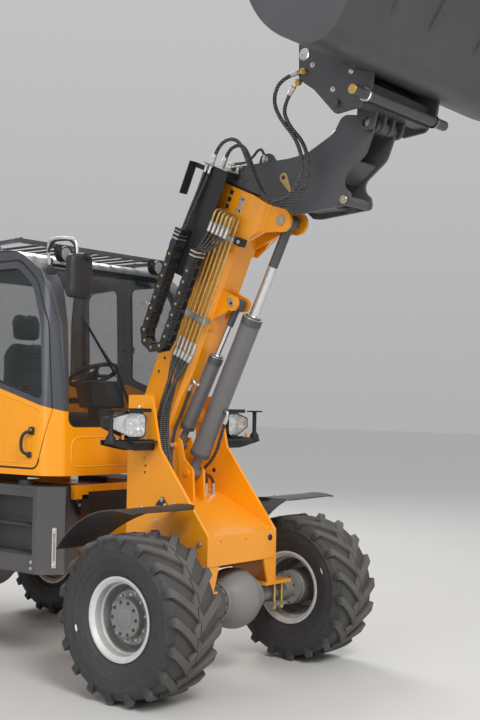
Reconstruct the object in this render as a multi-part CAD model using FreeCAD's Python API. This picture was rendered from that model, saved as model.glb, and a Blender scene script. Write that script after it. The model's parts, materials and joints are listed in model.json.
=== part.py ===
import FreeCAD, Part
import math
import os

# Telescopic wheel loader, articulated in the middle, boom raised and bucket crowded.
# Millimetres and degrees. X forward, Y to the machine's left, Z up, ground at Z = 0.
# Everything is drawn with X = 0 at the front axle, then moved by LENGTH_SHIFT so that
# the origin lies on the ground under the middle of the machine's length.

# ---- driving dimensions ----
TYRE_D = 945.0
TYRE_W = 394.0
RIM_D = 478.0
TRACK = 1562.0
WHEELBASE = 2350.0
AXLE_Z = TYRE_D / 2
PIVOT_X = -1175.0           # articulation, half way between the axles
LENGTH_SHIFT = 785.0

BOOM_PIVOT = (-470.0, 1600.0)   # X, Z
BOOM_ANGLE = 66.0
TOWER_Y = 333.0             # outer face of the tower's side plates
TOWER_PLATE = 22.0
BOOM_Y = 110.0              # half width of the outer boom
BOOM_TOP = 210.0            # above the boom's pivot line
BOOM_LOW = 95.0             # below it
BOOM_END = 1530.0
WALL = 12.0
TELESCOPE_FIT = 8.0
STROKE = 850.0              # telescope travel

LIFT_BASE = (-300.0, 1242.0)    # X, Z of the lift cylinder's base pin
LIFT_EYE = (1455.0, -360.0)     # along and above the boom line
LEVEL_BASE = (-412.0, 1412.0)
LEVEL_EYE = (858.0, -195.0)
TILT_BASE = (490.0, 3030.0)
TILT_EYE = (1001.0, 3347.0)
CARRIER_PIVOT = (1085.0, 3268.0)

STEER_BASE = (-1700.0, 232.0)       # X, Y of the steering cylinder's ends
STEER_EYE = (PIVOT_X, 250.0)
STEER_Z = 800.0

CAB_FRONT = -880.0
CAB_REAR = -2105.0
CAB_Y = 705.0
CAB_LOW = 1205.0
CAB_TOP = 2690.0
SILL_Z = 1490.0             # top of the painted tub, foot of the glass
CAB_WALL = 40.0
GLASS = 8.0
DOOR_GAP = 6.0

BUCKET_Y = 975.0
BUCKET_ANGLE = 57.0
BUCKET_HEEL = (1395.0, 3450.0)
BUCKET_PLATE = 14.0


# ---- drawing helpers ----
def vec(x, y, z):
    return FreeCAD.Vector(x, y, z)


PLANES = {
    "xz": lambda a, b, across: vec(a, across, b),
    "xy": lambda a, b, across: vec(a, b, across),
    "yz": lambda a, b, across: vec(across, a, b),
}


def corner(before, here, after, radius):
    """The points that a corner takes up: itself, or an arc's start, middle and end."""
    if not radius:
        return [here]
    back = (before - here).normalize()
    on = (after - here).normalize()
    half = back.getAngle(on) / 2
    middle = (back + on).normalize()
    centre = here + middle * (radius / math.sin(half))
    reach = radius / math.tan(half)
    return [here + back * reach, centre - middle * radius, here + on * reach]


def outline(plane, points, across=0.0):
    """A closed wire of lines, with a rounded corner where a point has a radius."""
    place = PLANES[plane]
    flat = [vec(p[0], p[1], 0) for p in points]
    radii = [p[2] if len(p) > 2 else 0 for p in points]
    count = len(flat)
    corners = [
        corner(flat[i - 1], flat[i], flat[(i + 1) % count], radii[i]) for i in range(count)
    ]
    corners = [[place(q.x, q.y, across) for q in group] for group in corners]
    edges = []
    for group, following in zip(corners, corners[1:] + corners[:1]):
        if len(group) == 3:
            edges.append(Part.Arc(*group).toShape())
        if (following[0] - group[-1]).Length > 1e-4:
            edges.append(Part.LineSegment(group[-1], following[0]).toShape())
    return Part.Wire(edges)


def slab(plane, points, low, high):
    """An outline drawn in a plane and extruded across it from low to high."""
    face = Part.Face(outline(plane, points, low))
    step = PLANES[plane](0, 0, high - low)
    return face.extrude(step)


def box(x, y, z):
    low = [min(pair) for pair in (x, y, z)]
    size = [abs(pair[1] - pair[0]) for pair in (x, y, z)]
    return Part.makeBox(*size, vec(*low))


def bar(start, end, radius):
    start, end = vec(*start), vec(*end)
    return Part.makeCylinder(radius, (end - start).Length, start, end - start)


def pin(at, low, high, radius):
    """A round bar across the machine, at an (X, Z) place."""
    return bar((at[0], low, at[1]), (at[0], high, at[1]), radius)


def turned(points, x, y, z):
    """Points are (across, radius), turned about an axle along Y at x, z."""
    face = Part.Face(outline("yz", points))
    solid = face.revolve(vec(0, 0, 0), vec(0, 1, 0), 360)
    solid.translate(vec(x, y, z))
    return solid


def mirrored(shape):
    return shape.mirror(vec(0, 0, 0), vec(0, 1, 0))


def both(shape):
    """A right-hand piece with its left-hand twin, as two solids."""
    return Part.makeCompound([shape, mirrored(shape)])


def eye_plate(points, eye, radius, near, far):
    """A right-hand plate in side view, with a round end about an eye."""
    plate = slab("xz", points, -far, -near)
    return plate.fuse(pin(eye, -far, -near, radius)).removeSplitter()


def fused(*shapes):
    solids = [solid for shape in shapes for solid in shape.Solids]
    whole = solids[0].multiFuse(solids[1:]) if len(solids) > 1 else solids[0]
    return whole.removeSplitter()


def pipe(points, radius, share=0.45):
    """A round tube along straight runs joined by tangent arcs. Returns it and its arcs' radii."""
    path = [vec(*p) for p in points]
    edges, radii = [], []
    start = path[0]
    for before, here, after in zip(path, path[1:], path[2:]):
        back = before - here
        on = after - here
        reach = share * min(back.Length, on.Length)
        turn = math.pi - back.getAngle(on)
        bend = reach / math.tan(turn / 2)
        radii.append(bend)
        back.normalize()
        on.normalize()
        middle = (back + on).normalize()
        centre = here + middle * (bend / math.cos(turn / 2))
        first, last = here + back * reach, here + on * reach
        edges.append(Part.LineSegment(start, first).toShape())
        edges.append(Part.Arc(first, centre - middle * bend, last).toShape())
        start = last
    edges.append(Part.LineSegment(start, path[-1]).toShape())
    wire = Part.Wire(edges)
    ring = Part.Wire([Part.Circle(path[0], path[1] - path[0], radius).toShape()])
    return wire.makePipeShell([ring], True, False), radii


# ---- boom frame ----
# The boom is drawn lying level with its pivot at the origin: "along" towards the bucket,
# "above" upwards. raised() lifts it to its angle on the tower.
def raised(shape):
    turn = FreeCAD.Rotation(vec(0, 1, 0), -BOOM_ANGLE)
    place = FreeCAD.Placement(vec(BOOM_PIVOT[0], 0, BOOM_PIVOT[1]), turn)
    return shape.transformed(place.toMatrix())


def on_boom(along, above):
    """X and Z of a place on the boom."""
    angle = math.radians(BOOM_ANGLE)
    x = BOOM_PIVOT[0] + along * math.cos(angle) - above * math.sin(angle)
    z = BOOM_PIVOT[1] + along * math.sin(angle) + above * math.cos(angle)
    return x, z


def boom_section(half, top, low, bevel):
    """The boom's cross-section, with bevelled lower corners."""
    return [(-half, top, 8), (half, top, 8), (half, -low + bevel), (half - bevel, -low),
            (bevel - half, -low), (-half, -low + bevel)]


# ---- wheels and axles ----
def tyre(x, side):
    half = TYRE_W / 2
    bead = RIM_D / 2 - 3
    edge = half - 48
    points = [(-edge, bead), (-edge, bead + 4), (-edge - 9, bead + 30), (-half, bead + 66, 70),
              (-half, 425, 46), (-165, TYRE_D / 2, 20), (165, TYRE_D / 2, 20), (half, 425, 46),
              (half, bead + 66, 70), (edge + 9, bead + 30), (edge, bead + 4), (edge, bead)]
    return turned(points, x, side * TRACK / 2, AXLE_Z)


def rim(x, side):
    """Stepped rim, dished disc and hub drum. Outboard is side * Y."""
    lip, barrel, seat, well = RIM_D / 2, RIM_D / 2 - 3, RIM_D / 2 - 34, RIM_D / 2 - 50
    edge, flange = 150, 158
    ring = [(-flange, seat + 22), (-flange, lip), (-edge, lip), (-edge, barrel), (edge, barrel),
            (edge, lip), (flange, lip), (flange, seat + 22), (140, seat), (98, seat - 4),
            (90, well), (-90, well), (-98, seat - 4), (-140, seat)]
    # across the axle, outboard positive: dished disc, then the hub that it bolts to
    disc = [(44, 60), (44, 146), (10, 176), (10, well + 2), (24, well + 2), (24, 182),
            (58, 152), (58, 60)]
    hub = [(-122, 46), (-122, 112, 8), (104, 112), (112, 104), (112, 0), (-72, 0), (-72, 46)]
    pieces = [turned([(side * a, r) for a, r, *_ in ring], x, side * TRACK / 2, AXLE_Z)]
    for shape in (disc, hub):
        points = [(side * p[0],) + tuple(p[1:]) for p in shape]
        pieces.append(turned(points, x, side * TRACK / 2, AXLE_Z))
    return fused(*pieces)


def axle(x, housing_y):
    """Beam, round differential housing, end flanges and the stubs that carry the hubs."""
    end = TRACK / 2 - 127
    pieces = [
        pin((x, AXLE_Z), -end, end, 62),
        Part.makeSphere(188, vec(x, housing_y, AXLE_Z)),
        pin((x, AXLE_Z), housing_y - 178, housing_y + 178, 105),
    ]
    for side in (-1, 1):
        pieces.append(pin((x, AXLE_Z), side * (end - 38), side * end, 108))
        pieces.append(pin((x, AXLE_Z), side * end, side * (end + 50), 45))
    return fused(*pieces)


def front_axle():
    """The axle, with the clamps that hold it to the tower's pads."""
    pieces = [axle(0, 50)]
    for side in (-1, 1):
        pieces.append(box((-105, 105), (side * 345, side * 480), (395, 415)))
        for x in (-85, 85):
            for y in (375, 450):
                pieces.append(bar((x, side * y, 405), (x, side * y, 540), 9))
        pieces.append(box((-30, 30), (side * 360, side * 465), (410, 540)))
    return fused(*pieces)


def rear_axle():
    """The axle, with the trunnion block that lets it rock under the frame."""
    x = -WHEELBASE
    block = box((x - 60, x + 60), (-70, 70), (AXLE_Z + 60, 680))
    return fused(axle(x, 40), block)


def arc_shell(x, radius, thick, start, end, low, high):
    """Part of a ring about a wheel's axle, from start to end degrees above the front."""
    a, b = math.radians(start), math.radians(end)
    mid = (a + b) / 2

    def at(r, angle):
        return vec(x + r * math.cos(angle), low, AXLE_Z + r * math.sin(angle))

    edges = [
        Part.Arc(at(radius, a), at(radius, mid), at(radius, b)).toShape(),
        Part.LineSegment(at(radius, b), at(radius + thick, b)).toShape(),
        Part.Arc(at(radius + thick, b), at(radius + thick, mid), at(radius + thick, a)).toShape(),
        Part.LineSegment(at(radius + thick, a), at(radius, a)).toShape(),
    ]
    return Part.Face(Part.Wire(edges)).extrude(vec(0, high - low, 0))


FENDER_R = 602.0
FENDER_T = 6.0


def front_fenders():
    """Thin mudguards that taper towards the rear, each on a bracket from the tower."""
    shell = arc_shell(0, FENDER_R, FENDER_T, 78, 145, -970, -380)
    plan = slab("xy", [(200, -970), (-560, -970), (-560, -690), (-250, -430), (-120, -380),
                       (60, -380, 40), (130, -470), (110, -970, 60)], 700, 1200)
    bracket = fused(
        box((-150, -110), (-560, -TOWER_Y), (1040, 1054)),
        box((-150, -110), (-560, -546), (1040, 1062)),
    )
    guard = shell.common(plan)
    bracket = bracket.cut(arc_shell(0, 1.0, FENDER_R + FENDER_T + 40, 60, 160, -980, -370)
                          .cut(arc_shell(0, 1.0, FENDER_R - 1, 55, 165, -980, -370)))
    return both(fused(guard, bracket))


def rear_fenders():
    """Mudguards with a rolled outer lip, each on a bracket from the longitudinal."""
    x = -WHEELBASE
    shell = arc_shell(x, FENDER_R, FENDER_T, 30, 152, -970, -625)
    lip = arc_shell(x, FENDER_R - 30, 36, 30, 152, -970, -964)
    stay = fused(box((x - 25, x + 25), (-650, -330), (1022, 1036)),
                 box((x - 25, x + 25), (-650, -636), (1022, 1076)))
    return both(fused(shell, lip, stay))


# ---- front frame ----
def tower_plate():
    points = [(-558, 1730, 12), (-360, 1730, 8), (-286, 1402, 60), (124, 890, 20), (124, 545),
              (-120, 545), (-220, 620, 30), (-558, 620)]
    plate = slab("xz", points, -TOWER_Y, TOWER_PLATE - TOWER_Y)
    # gusset from the cross plate down to the axle pad, and the pad itself
    gusset = slab("yz", [(-311, 711), (-215, 711), (-262, 560), (-311, 560)], 104, 118)
    pad = box((-120, 124), (-500, -235), (540, 560))
    lamp_shelf = slab("xy", [(-470, -333), (-300, -333), (-262, -380), (-262, -560, 15),
                             (-330, -560, 15), (-420, -420, 30)], 1436, 1446)
    return fused(plate, gusset, pad, lamp_shelf)


def cylinder_brackets():
    """Two plates on the tower's sloping deck that hold both cylinders' base pins."""
    points = [(-236, 1030), (-250, 1262, 46), (-330, 1330, 50), (-358, 1462, 44),
              (-464, 1462, 44), (-490, 1080)]
    plate = slab("xz", points, -60, -42)
    return fused(plate, mirrored(plate))


def front_frame():
    """Tower of two plates, its decks, the articulation tongue and the fixed pins."""
    inside = TOWER_Y - TOWER_PLATE
    plate = tower_plate()
    deck = slab("xz", [(124, 890), (-300, 1080), (-520, 1140), (-520, 1122), (-300, 1062),
                       (106, 880), (106, 711), (124, 711)], -inside, inside)
    back = box((-558, -538), (-inside, inside), (620, 1132))
    floor = box((-558, -220), (-inside, inside), (620, 640))
    tongue = slab("xy", [(-545, -160), (-545, 160), (PIVOT_X, 70, 20), (PIVOT_X, -70, 20)],
                  690, 930)
    eye = bar((PIVOT_X, 0, 640), (PIVOT_X, 0, 980), 80)
    # the steering cylinder's two ears, beside the tongue's eye
    steer = [slab("xy", [(PIVOT_X - 60, 40), (PIVOT_X + 60, 40),
                         (STEER_EYE[0] + 28, STEER_EYE[1] + 28, 26),
                         (STEER_EYE[0] - 28, STEER_EYE[1] + 28, 26)],
                  STEER_Z + low, STEER_Z + low + 14) for low in (-36, 22)]
    pieces = [plate, mirrored(plate), deck, back, floor, tongue, eye, *steer,
              cylinder_brackets(),
              pin(BOOM_PIVOT, -TOWER_Y - 14, TOWER_Y + 14, 30),
              pin(LIFT_BASE, -70, 70, 22), pin(LEVEL_BASE, -70, 70, 20)]
    whole = fused(*pieces)
    hinge_bore = bar((PIVOT_X, 0, 630), (PIVOT_X, 0, 990), 30.1)
    return whole.cut(hinge_bore)


def headlights():
    """A wide lamp case on each lamp shelf, tapering to its indicator end."""
    case = slab("yz", [(-352, 1470, 20), (-352, 1630, 30), (-500, 1630, 30), (-655, 1590, 20),
                       (-655, 1530, 20), (-500, 1470, 30)], -385, -305)
    foot = box((-375, -325), (-520, -400), (1446, 1480))
    return both(fused(case, foot))


# ---- rear frame ----
def rear_frame():
    """Two longitudinals, cross members, the articulation fork and the cab's front beam."""
    side = slab("xz", [(-1290, 1040, 20), (-1290, 560, 20), (-3080, 560), (-3080, 1000),
                       (-2700, 1040), (-2000, 1100), (-1500, 1100)], -330, -310)
    cross = box((-1785, -1765), (-310, 310), (560, 1000))
    deck = box((-1700, -1300), (-310, 310), (1082, 1100))
    fork = [slab("xy", [(-1420, -310), (-1420, 310), (-1330, 310), (PIVOT_X + 70, 70, 60),
                        (PIVOT_X + 70, -70, 60), (-1330, -310)], low, low + 26)
            for low in (596, 998)]
    king = bar((PIVOT_X, 0, 580), (PIVOT_X, 0, 1040), 30)
    arm = slab("xz", [(-1400, 1082), (-1400, 1140), (-912, 1140), (-912, 1098), (-1290, 1098),
                      (-1330, 1082)], -330, -300)
    beam = slab("yz", [(-450, 1050), (-450, 1140), (450, 1140), (450, 1050), (386, 1050),
                       (386, 1078), (330, 1078), (330, 1096), (-330, 1096), (-330, 1078),
                       (-386, 1078), (-386, 1050)], -950, -912)
    mount = box((-2410, -2290), (-310, 310), (680, 700))
    lugs = [box((-1765, STEER_BASE[0] + 25), (STEER_BASE[1] - 30, STEER_BASE[1] + 30),
                (STEER_Z + low, STEER_Z + low + 12)) for low in (-34, 22)]
    steer_pin = bar((STEER_BASE[0], STEER_BASE[1], STEER_Z - 40),
                    (STEER_BASE[0], STEER_BASE[1], STEER_Z + 40), 12)
    pieces = [side, mirrored(side), cross, deck, *fork, king, arm, mirrored(arm), beam, mount,
              *lugs, steer_pin]
    return fused(*pieces)


def junction_box():
    """Covered box under the front beam, where the pipes cross to the boom."""
    return slab("xz", [(-968, 1095), (-916, 1095), (-916, 960, 12), (-930, 945, 12),
                       (-968, 945, 12)], -384, 384).cut(
        box((-1020, -900), (384.5, 400), (900, 1100))).cut(
        fused(box((-952, -900), (-390, -328), (1048, 1100)),
              box((-952, -900), (328, 390), (1048, 1100))))


def engine_block():
    return box((-2960, -2250), (-280, 280), (740, 1440))


HITCH_PIN_R = 16.0
HITCH_X = -3400.0


def counterweight():
    """The heavy rear casting: rounded corners, a pocket for the tow hitch, a hole for its pin."""
    body = slab("xy", [(-3080, -640), (-3080, 640), (-3300, 640, 60), (-3425, 480, 60),
                       (-3425, -480, 60), (-3300, -640, 60)], 520, 1040)
    pocket = box((-3430, -3330), (-110, 110), (515, 760))
    pin_way = bar((HITCH_X, 0, 750), (HITCH_X, 0, 1050), HITCH_PIN_R + 5)
    return body.cut(pocket).cut(pin_way)



def hitch_jaw(low):
    return slab("xy", [(-3345, -60), (-3345, 60), (-3440, 45, 35), (-3440, -45, 35)],
                low, low + 20)


def tow_hitch():
    """Back plate and the lower jaw, which has a clearance hole for the pin's tip."""
    back = box((-3330, -3345), (-105, 105), (565, 755))
    hole = bar((HITCH_X, 0, 590), (HITCH_X, 0, 630), HITCH_PIN_R + 1.5)
    return fused(back, hitch_jaw(600)).cut(hole)


def tow_jaw():
    """The upper jaw, with the pin's bore."""
    return hitch_jaw(700).cut(bar((HITCH_X, 0, 690), (HITCH_X, 0, 730), HITCH_PIN_R))


def side_tanks():
    """Tank and step boxes ahead of the rear wheels, their front corners cut back for steering."""
    body = slab("xy", [(-868, -567), (-1000, -690, 12), (-1760, -690), (-1760, -350),
                       (-975, -350), (-975, -455)], 585, 1137)
    step = box((-1640, -1040), (-695, -540), (700, 1070))
    return both(body.cut(step))


# ---- cab ----
def cab_block(inset):
    """The cab's outer volume, or the same drawn in by an inset."""
    plan = Part.Face(outline("xy", [
        (CAB_FRONT, -380), (-905, -560, 50), (-1010, -655, 120), (-1500, -CAB_Y, 300),
        (CAB_REAR, -CAB_Y, 50), (CAB_REAR, CAB_Y, 50), (-1500, CAB_Y, 300),
        (-1010, 655, 120), (-905, 560, 50), (CAB_FRONT, 380)], CAB_LOW - 10))
    profile = Part.Face(outline("xz", [
        (CAB_FRONT, CAB_LOW), (CAB_FRONT - 4, SILL_Z), (-925, 2180, 400), (-985, 2480, 300),
        (-1240, 2655, 260), (-1500, CAB_TOP, 200), (CAB_REAR + 40, CAB_TOP, 90),
        (CAB_REAR, 2300), (CAB_REAR, CAB_LOW)], -800))
    section = Part.Face(outline("yz", [
        (-CAB_Y - 10, CAB_LOW - 10), (-CAB_Y - 10, 1800), (30 - CAB_Y, CAB_TOP + 8, 70),
        (CAB_Y - 30, CAB_TOP + 8, 70), (CAB_Y + 10, 1800), (CAB_Y + 10, CAB_LOW - 10)], -2400))
    if inset:
        plan = Part.Face(plan.makeOffset2D(-inset).Wires[0])
        profile = Part.Face(profile.makeOffset2D(-inset).Wires[0])
        section = Part.Face(section.makeOffset2D(-inset).Wires[0])
    tall = plan.extrude(vec(0, 0, 1600))
    wide = profile.extrude(vec(0, 1600, 0))
    return tall.common(wide).common(section.extrude(vec(1800, 0, 0)))


# the door's edge in side view, and its glass: X, Z, corner radius
DOOR_EDGE = [(-1620, 1250, 40), (-1045, 1245, 60), (-960, 1620, 60), (-985, 2180, 200),
             (-1065, 2460, 200), (-1230, 2600, 120), (-1620, 2600, 40)]
DOOR_GLASS = [(-1560, 1850, 50), (-1020, 1690, 30), (-1040, 2180, 200), (-1115, 2430, 200),
              (-1250, 2545, 100), (-1560, 2545, 50)]
QUARTER_GLASS = [(-2040, 1840, 50), (-1690, 1800, 50), (-1690, 2540, 50), (-2040, 2520, 70)]


def inset_outline(points, amount):
    """An outline in side view drawn in by an amount, as a face."""
    face = Part.Face(outline("xz", points, -900))
    return Part.Face(face.makeOffset2D(-amount).Wires[0])


def through(points, amount=0.0):
    """A prism through the right side of the cab."""
    if amount:
        return inset_outline(points, amount).extrude(vec(0, 310, 0))
    return slab("xz", points, -900, -590)


WINDSCREEN = [(-530, SILL_Z + 25, 60), (530, SILL_Z + 25, 60), (530, 2590, 60),
              (-530, 2590, 60)]
REAR_GLASS = [(-560, 1800, 60), (560, 1800, 60), (560, 2540, 60), (-560, 2540, 60)]
ROOF_GLASS = [(-1980, -500, 60), (-1980, 500, 60), (-1330, 500, 60), (-1330, -500, 60)]


def grown(points, amount):
    """A rounded rectangle pushed out by an amount."""
    a_mid = sum(p[0] for p in points) / 4
    b_mid = sum(p[1] for p in points) / 4
    return [(p[0] + math.copysign(amount, p[0] - a_mid), p[1] + math.copysign(amount, p[1] - b_mid),
             p[2]) for p in points]


DOOR_HINGE = (-1622.0, -716.0)      # X, Y of the right door's hinge line
HINGE_Z = [1330.0, 2060.0]


def knuckle(low, way):
    """Half of a door hinge: a barrel on the hinge line, a leaf and its foot. way is +1 forwards."""
    x, y = DOOR_HINGE
    high = low + 40
    leaf = box((x, x + way * 62), (y - 4, y + 9.5), (low, high))
    foot = box((x + way * 14, x + way * 62), (y + 8, y + 22), (low, high))
    return fused(bar((x, y, low), (x, y, high), 9), leaf, foot)


def cab():
    """Every fixed and hinged piece of the cab, cut from one hollow shell."""
    outer, inner = cab_block(0), cab_block(CAB_WALL)
    shell = outer.cut(inner)
    pane = cab_block(12).cut(cab_block(12 + GLASS))
    doorways = [through(DOOR_EDGE), mirrored(through(DOOR_EDGE))]
    openings = [
        slab("yz", WINDSCREEN, -1330, -700),
        slab("yz", REAR_GLASS, CAB_REAR - 100, CAB_REAR + 200),
        slab("xy", ROOF_GLASS, 2600, 2800),
        through(QUARTER_GLASS), mirrored(through(QUARTER_GLASS)),
    ]
    frame = shell.cut(doorways).cut(openings)
    whole = box((-2300, -700), (-900, 900), (CAB_LOW - 50, 2900))
    tub_zone = box((-2300, -700), (-900, 900), (CAB_LOW - 50, SILL_Z))
    roof_zone = box((-2300, -1290), (-900, 900), (2610, 2900))
    tub = frame.common(tub_zone)
    roof = frame.common(roof_zone)
    pillars = frame.cut([tub_zone, roof_zone])
    floor = inner.common(box((-2300, -700), (-900, 900), (CAB_LOW, 1257)))
    fixed = [pane.common(opening) for opening in openings]
    door = shell.common(through(DOOR_EDGE, DOOR_GAP)).cut(through(DOOR_GLASS))
    door = fused(door, *[knuckle(low, 1) for low in HINGE_Z])
    halves = [knuckle(low + 41, -1) for low in HINGE_Z]
    tub = fused(tub, halves[0], mirrored(halves[0]))
    pillars = fused(pillars, halves[1], mirrored(halves[1]))
    glass = pane.common(through(DOOR_GLASS))
    return {
        "cab_tub": tub, "cab_pillars": pillars, "cab_roof": roof, "cab_floor": floor,
        "fixed_glass": Part.makeCompound(fixed),
        "right_door": door, "right_door_glass": glass,
        "left_door": mirrored(door), "left_door_glass": mirrored(glass),
    }


def roof_guard():
    """Front bar, side rails and round bars over the roof glass, on short feet."""
    low, high = 2708, 2734
    front = box((-1235, -1195), (-725, 725), (low, high))
    rear = box((-2050, -2010), (-650, 650), (low, high))
    sides = [slab("xy", [(-2045, s * 645), (-1200, s * 722), (-1200, s * 688), (-2045, s * 611)],
                  low + 1, high - 1) for s in (-1, 1)]
    bars = [bar((-2030, y, low + 13), (-1215, y, low + 13), 9) for y in range(-480, 481, 120)]
    feet = [box((x, x + 30), (s * 615, s * 640), (CAB_TOP, low + 6)) for s in (-1, 1)
            for x in (-2045, -1900)]
    feet += [box((-1560, -1530), (s * 600, s * 680), (CAB_TOP, low + 6)) for s in (-1, 1)]
    return fused(front, rear, *sides, *bars, *feet)


def work_lights():
    """Two round lamps under the front bar of the roof guard."""
    lamp = fused(
        bar((-1140, -440, 2650), (-1050, -440, 2650), 52),
        box((-1215, -1120), (-460, -420), (2690, 2708)),
        box((-1150, -1110), (-460, -420), (2650, 2708)),
    )
    return both(lamp)


def seat_base():
    return fused(box((-1840, -1470), (-210, 210), (1257, 1400)),
                 slab("xz", [(-1860, 1400), (-1440, 1400), (-1420, 1500, 20),
                             (-1880, 1500, 20)], -240, 240))


def seat_cushion():
    return slab("xz", [(-1870, 1500.5), (-1430, 1500.5), (-1395, 1600, 30), (-1870, 1600, 20)],
                -240, 240)


def seat_back():
    """Backrest with a raised headrest."""
    back = slab("xz", [(-1972, 1560), (-1872, 1560), (-1885, 1800), (-1925, 2120, 30),
                       (-2010, 2120, 30)], -235, 235)
    head = slab("xz", [(-2008, 2115), (-1930, 2115), (-1945, 2330, 30), (-2022, 2330, 30)],
                -130, 130)
    return fused(back, head)


def steering_column():
    """Leaning column with its dash pod."""
    column = slab("xz", [(-1010, 1257), (-1130, 1257), (-1260, 1790, 10), (-1170, 1810, 10)],
                  -70, 70)
    pod = slab("xz", [(-1080, 1640, 20), (-1215, 1640, 20), (-1262, 1800, 10), (-1110, 1830, 20)],
               -150, 150)
    return fused(column, pod)


def steering_wheel():
    ring = Part.makeTorus(170, 14)
    hub = Part.makeCylinder(40, 30, vec(0, 0, -22))
    stem = Part.makeCylinder(20, 50, vec(0, 0, -58))
    spokes = [Part.makeBox(150, 30, 12, vec(20, -15, -12)) for _ in range(3)]
    for number, spoke in enumerate(spokes):
        spoke.rotate(vec(0, 0, 0), vec(0, 0, 1), 90 + 120 * number)
    whole = fused(ring, hub, stem, *spokes)
    whole.rotate(vec(0, 0, 0), vec(0, 1, 0), -25)
    whole.translate(vec(-1245, 0, 1868))
    return whole


def mirrors():
    """A bent arm from the front pillar and a tall mirror shell on its end."""
    arm, _ = pipe([(-965, -652, 2520), (-960, -680, 2640), (-900, -684, 2700),
                   (-790, -650, 2700), (-745, -640, 2660), (-742, -635, 2560)], 9, 0.4)
    foot = box((-985, -945), (-668, -622), (2490, 2530))
    shell = slab("yz", [(-702, 2335, 30), (-702, 2600, 30), (-520, 2620, 30),
                        (-525, 2325, 40)], -762, -722)
    foot = foot.cut(cab_block(0))
    arm = arm.cut(cab_block(0))
    return both(fused(arm, foot, shell))


# ---- hood ----
HOOD_FRONT = -2120.0
HOOD_REAR = -3330.0
HOOD_Y = 610.0
HOOD_LOW = 1060.0
HOOD_HINGE = (-2140.0, 1745.0)
HOOD_WALL = 16.0


def hood_block(inset):
    side = slab("xz", [(HOOD_FRONT + 60, HOOD_LOW - 60), (HOOD_FRONT + 60, 1760 - inset),
                       (-2300, 1755 - inset, 300), (-3180 + inset, 1600 - inset, 160),
                       (HOOD_REAR + inset, 1300, 300), (HOOD_REAR + inset, HOOD_LOW - 60)],
                -800, 800)
    ends = slab("yz", [(-HOOD_Y + inset, HOOD_LOW), (-HOOD_Y + 20 + inset, 1775 - inset, 90),
                       (HOOD_Y - 20 - inset, 1775 - inset, 90), (HOOD_Y - inset, HOOD_LOW)],
                HOOD_REAR - 50, HOOD_FRONT)
    plan = slab("xy", [(HOOD_FRONT, -HOOD_Y + inset), (HOOD_FRONT, HOOD_Y - inset),
                       (HOOD_REAR - 7 + inset, HOOD_Y - inset, 110),
                       (HOOD_REAR - 7 + inset, -HOOD_Y + inset, 110)], HOOD_LOW, 1900)
    return side.common(ends).common(plan)


def hood():
    """One-piece engine cover: open below and towards the cab, with rear and side grilles."""
    inner = hood_block(HOOD_WALL)
    inner = inner.fuse(box((HOOD_FRONT - 10, HOOD_FRONT + 1), (-560, 560), (HOOD_LOW, 1690)))
    shell = hood_block(0).cut(inner)
    grille = slab("yz", [(-330, 1130, 20), (330, 1130, 20), (330, 1400, 20), (-330, 1400, 20)],
                  HOOD_REAR - 50, HOOD_REAR + 120)
    mesh = hood_block(4).cut(hood_block(12)).common(grille)
    hinges = [pin(HOOD_HINGE, y - 40, y + 40, 12) for y in (-420, 420)]
    return fused(shell.cut(grille), mesh, *hinges)


def exhaust_stack():
    """Short upright pipe with a curved tip, standing on the hood."""
    stack, _ = pipe([(-2560, -380, 1700), (-2560, -380, 1980), (-2680, -380, 2060)], 32, 0.4)
    collar = bar((-2560, -380, 1700), (-2560, -380, 1760), 48)
    return fused(stack, collar).cut(hood_block(0))


def tail_lights():
    lamp = slab("xz", [(-3080.5, 1100, 10), (-3080.5, 1180, 10), (-3110, 1180, 10),
                       (-3110, 1100, 10)], -700, -611)
    stalk = box((-3100, -3060), (-640, -612), (1041, 1110))
    return both(fused(lamp, stalk))


# ---- boom ----
def boom_tube():
    """Outer boom: bevelled tube, thicker head, cylinder ears and its pivot boss."""
    def extruded(section, start, end):
        face = Part.Face(outline("yz", section, start))
        return face.extrude(vec(end - start, 0, 0))

    tube = extruded(boom_section(BOOM_Y, BOOM_TOP, BOOM_LOW, 34), -60, BOOM_END)
    head = extruded(boom_section(BOOM_Y + 15, BOOM_TOP + 14, BOOM_LOW + 16, 36), 1145, BOOM_END)
    sole = extruded(boom_section(BOOM_Y + 8, BOOM_TOP - 60, BOOM_LOW + 8, 34), 640, 1145)
    # drawn (along, above): the lift ears reach down from the head, the level ears from the sole
    lift_ear = eye_plate([(1190, -100), (1500, -100), (1522, -340), (1395, -385),
                          (1345, -260, 60)], LIFT_EYE, 70, 68, 92)
    level_ear = eye_plate([(710, -95), (905, -95), (905, -190), (812, -190)], LEVEL_EYE, 47,
                          49, 67)
    pieces = [tube, head, sole, lift_ear, mirrored(lift_ear), level_ear, mirrored(level_ear)]
    cavity = extruded(
        boom_section(BOOM_Y - WALL, BOOM_TOP - WALL, BOOM_LOW - WALL - 5, 30), 200, BOOM_END + 1)
    under = slab("xz", [(-70, -80), (150, -80), (350, -96), (350, -140), (-70, -140)], -200, 200)
    boss = bar((0, -250, 0), (0, 250, 0), 46)
    bore = bar((0, -260, 0), (0, 260, 0), 30.1)
    whole = fused(fused(*pieces).cut(under).cut(cavity), boss.cut(box(
        (-60, 60), (-90, 90), (-60, 60)))).cut(bore)
    return raised(whole)


def inner_tube():
    """Telescope section, sliding in the outer boom."""
    gap = WALL + TELESCOPE_FIT

    def extruded(inset, start, end):
        section = boom_section(BOOM_Y - gap - inset, BOOM_TOP - gap - inset,
                               BOOM_LOW - gap - 5 - inset, 28)
        return Part.Face(outline("yz", section, start)).extrude(vec(end - start, 0, 0))

    return raised(extruded(0, 230, 1560).cut(extruded(10, 220, 1570)))


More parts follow.
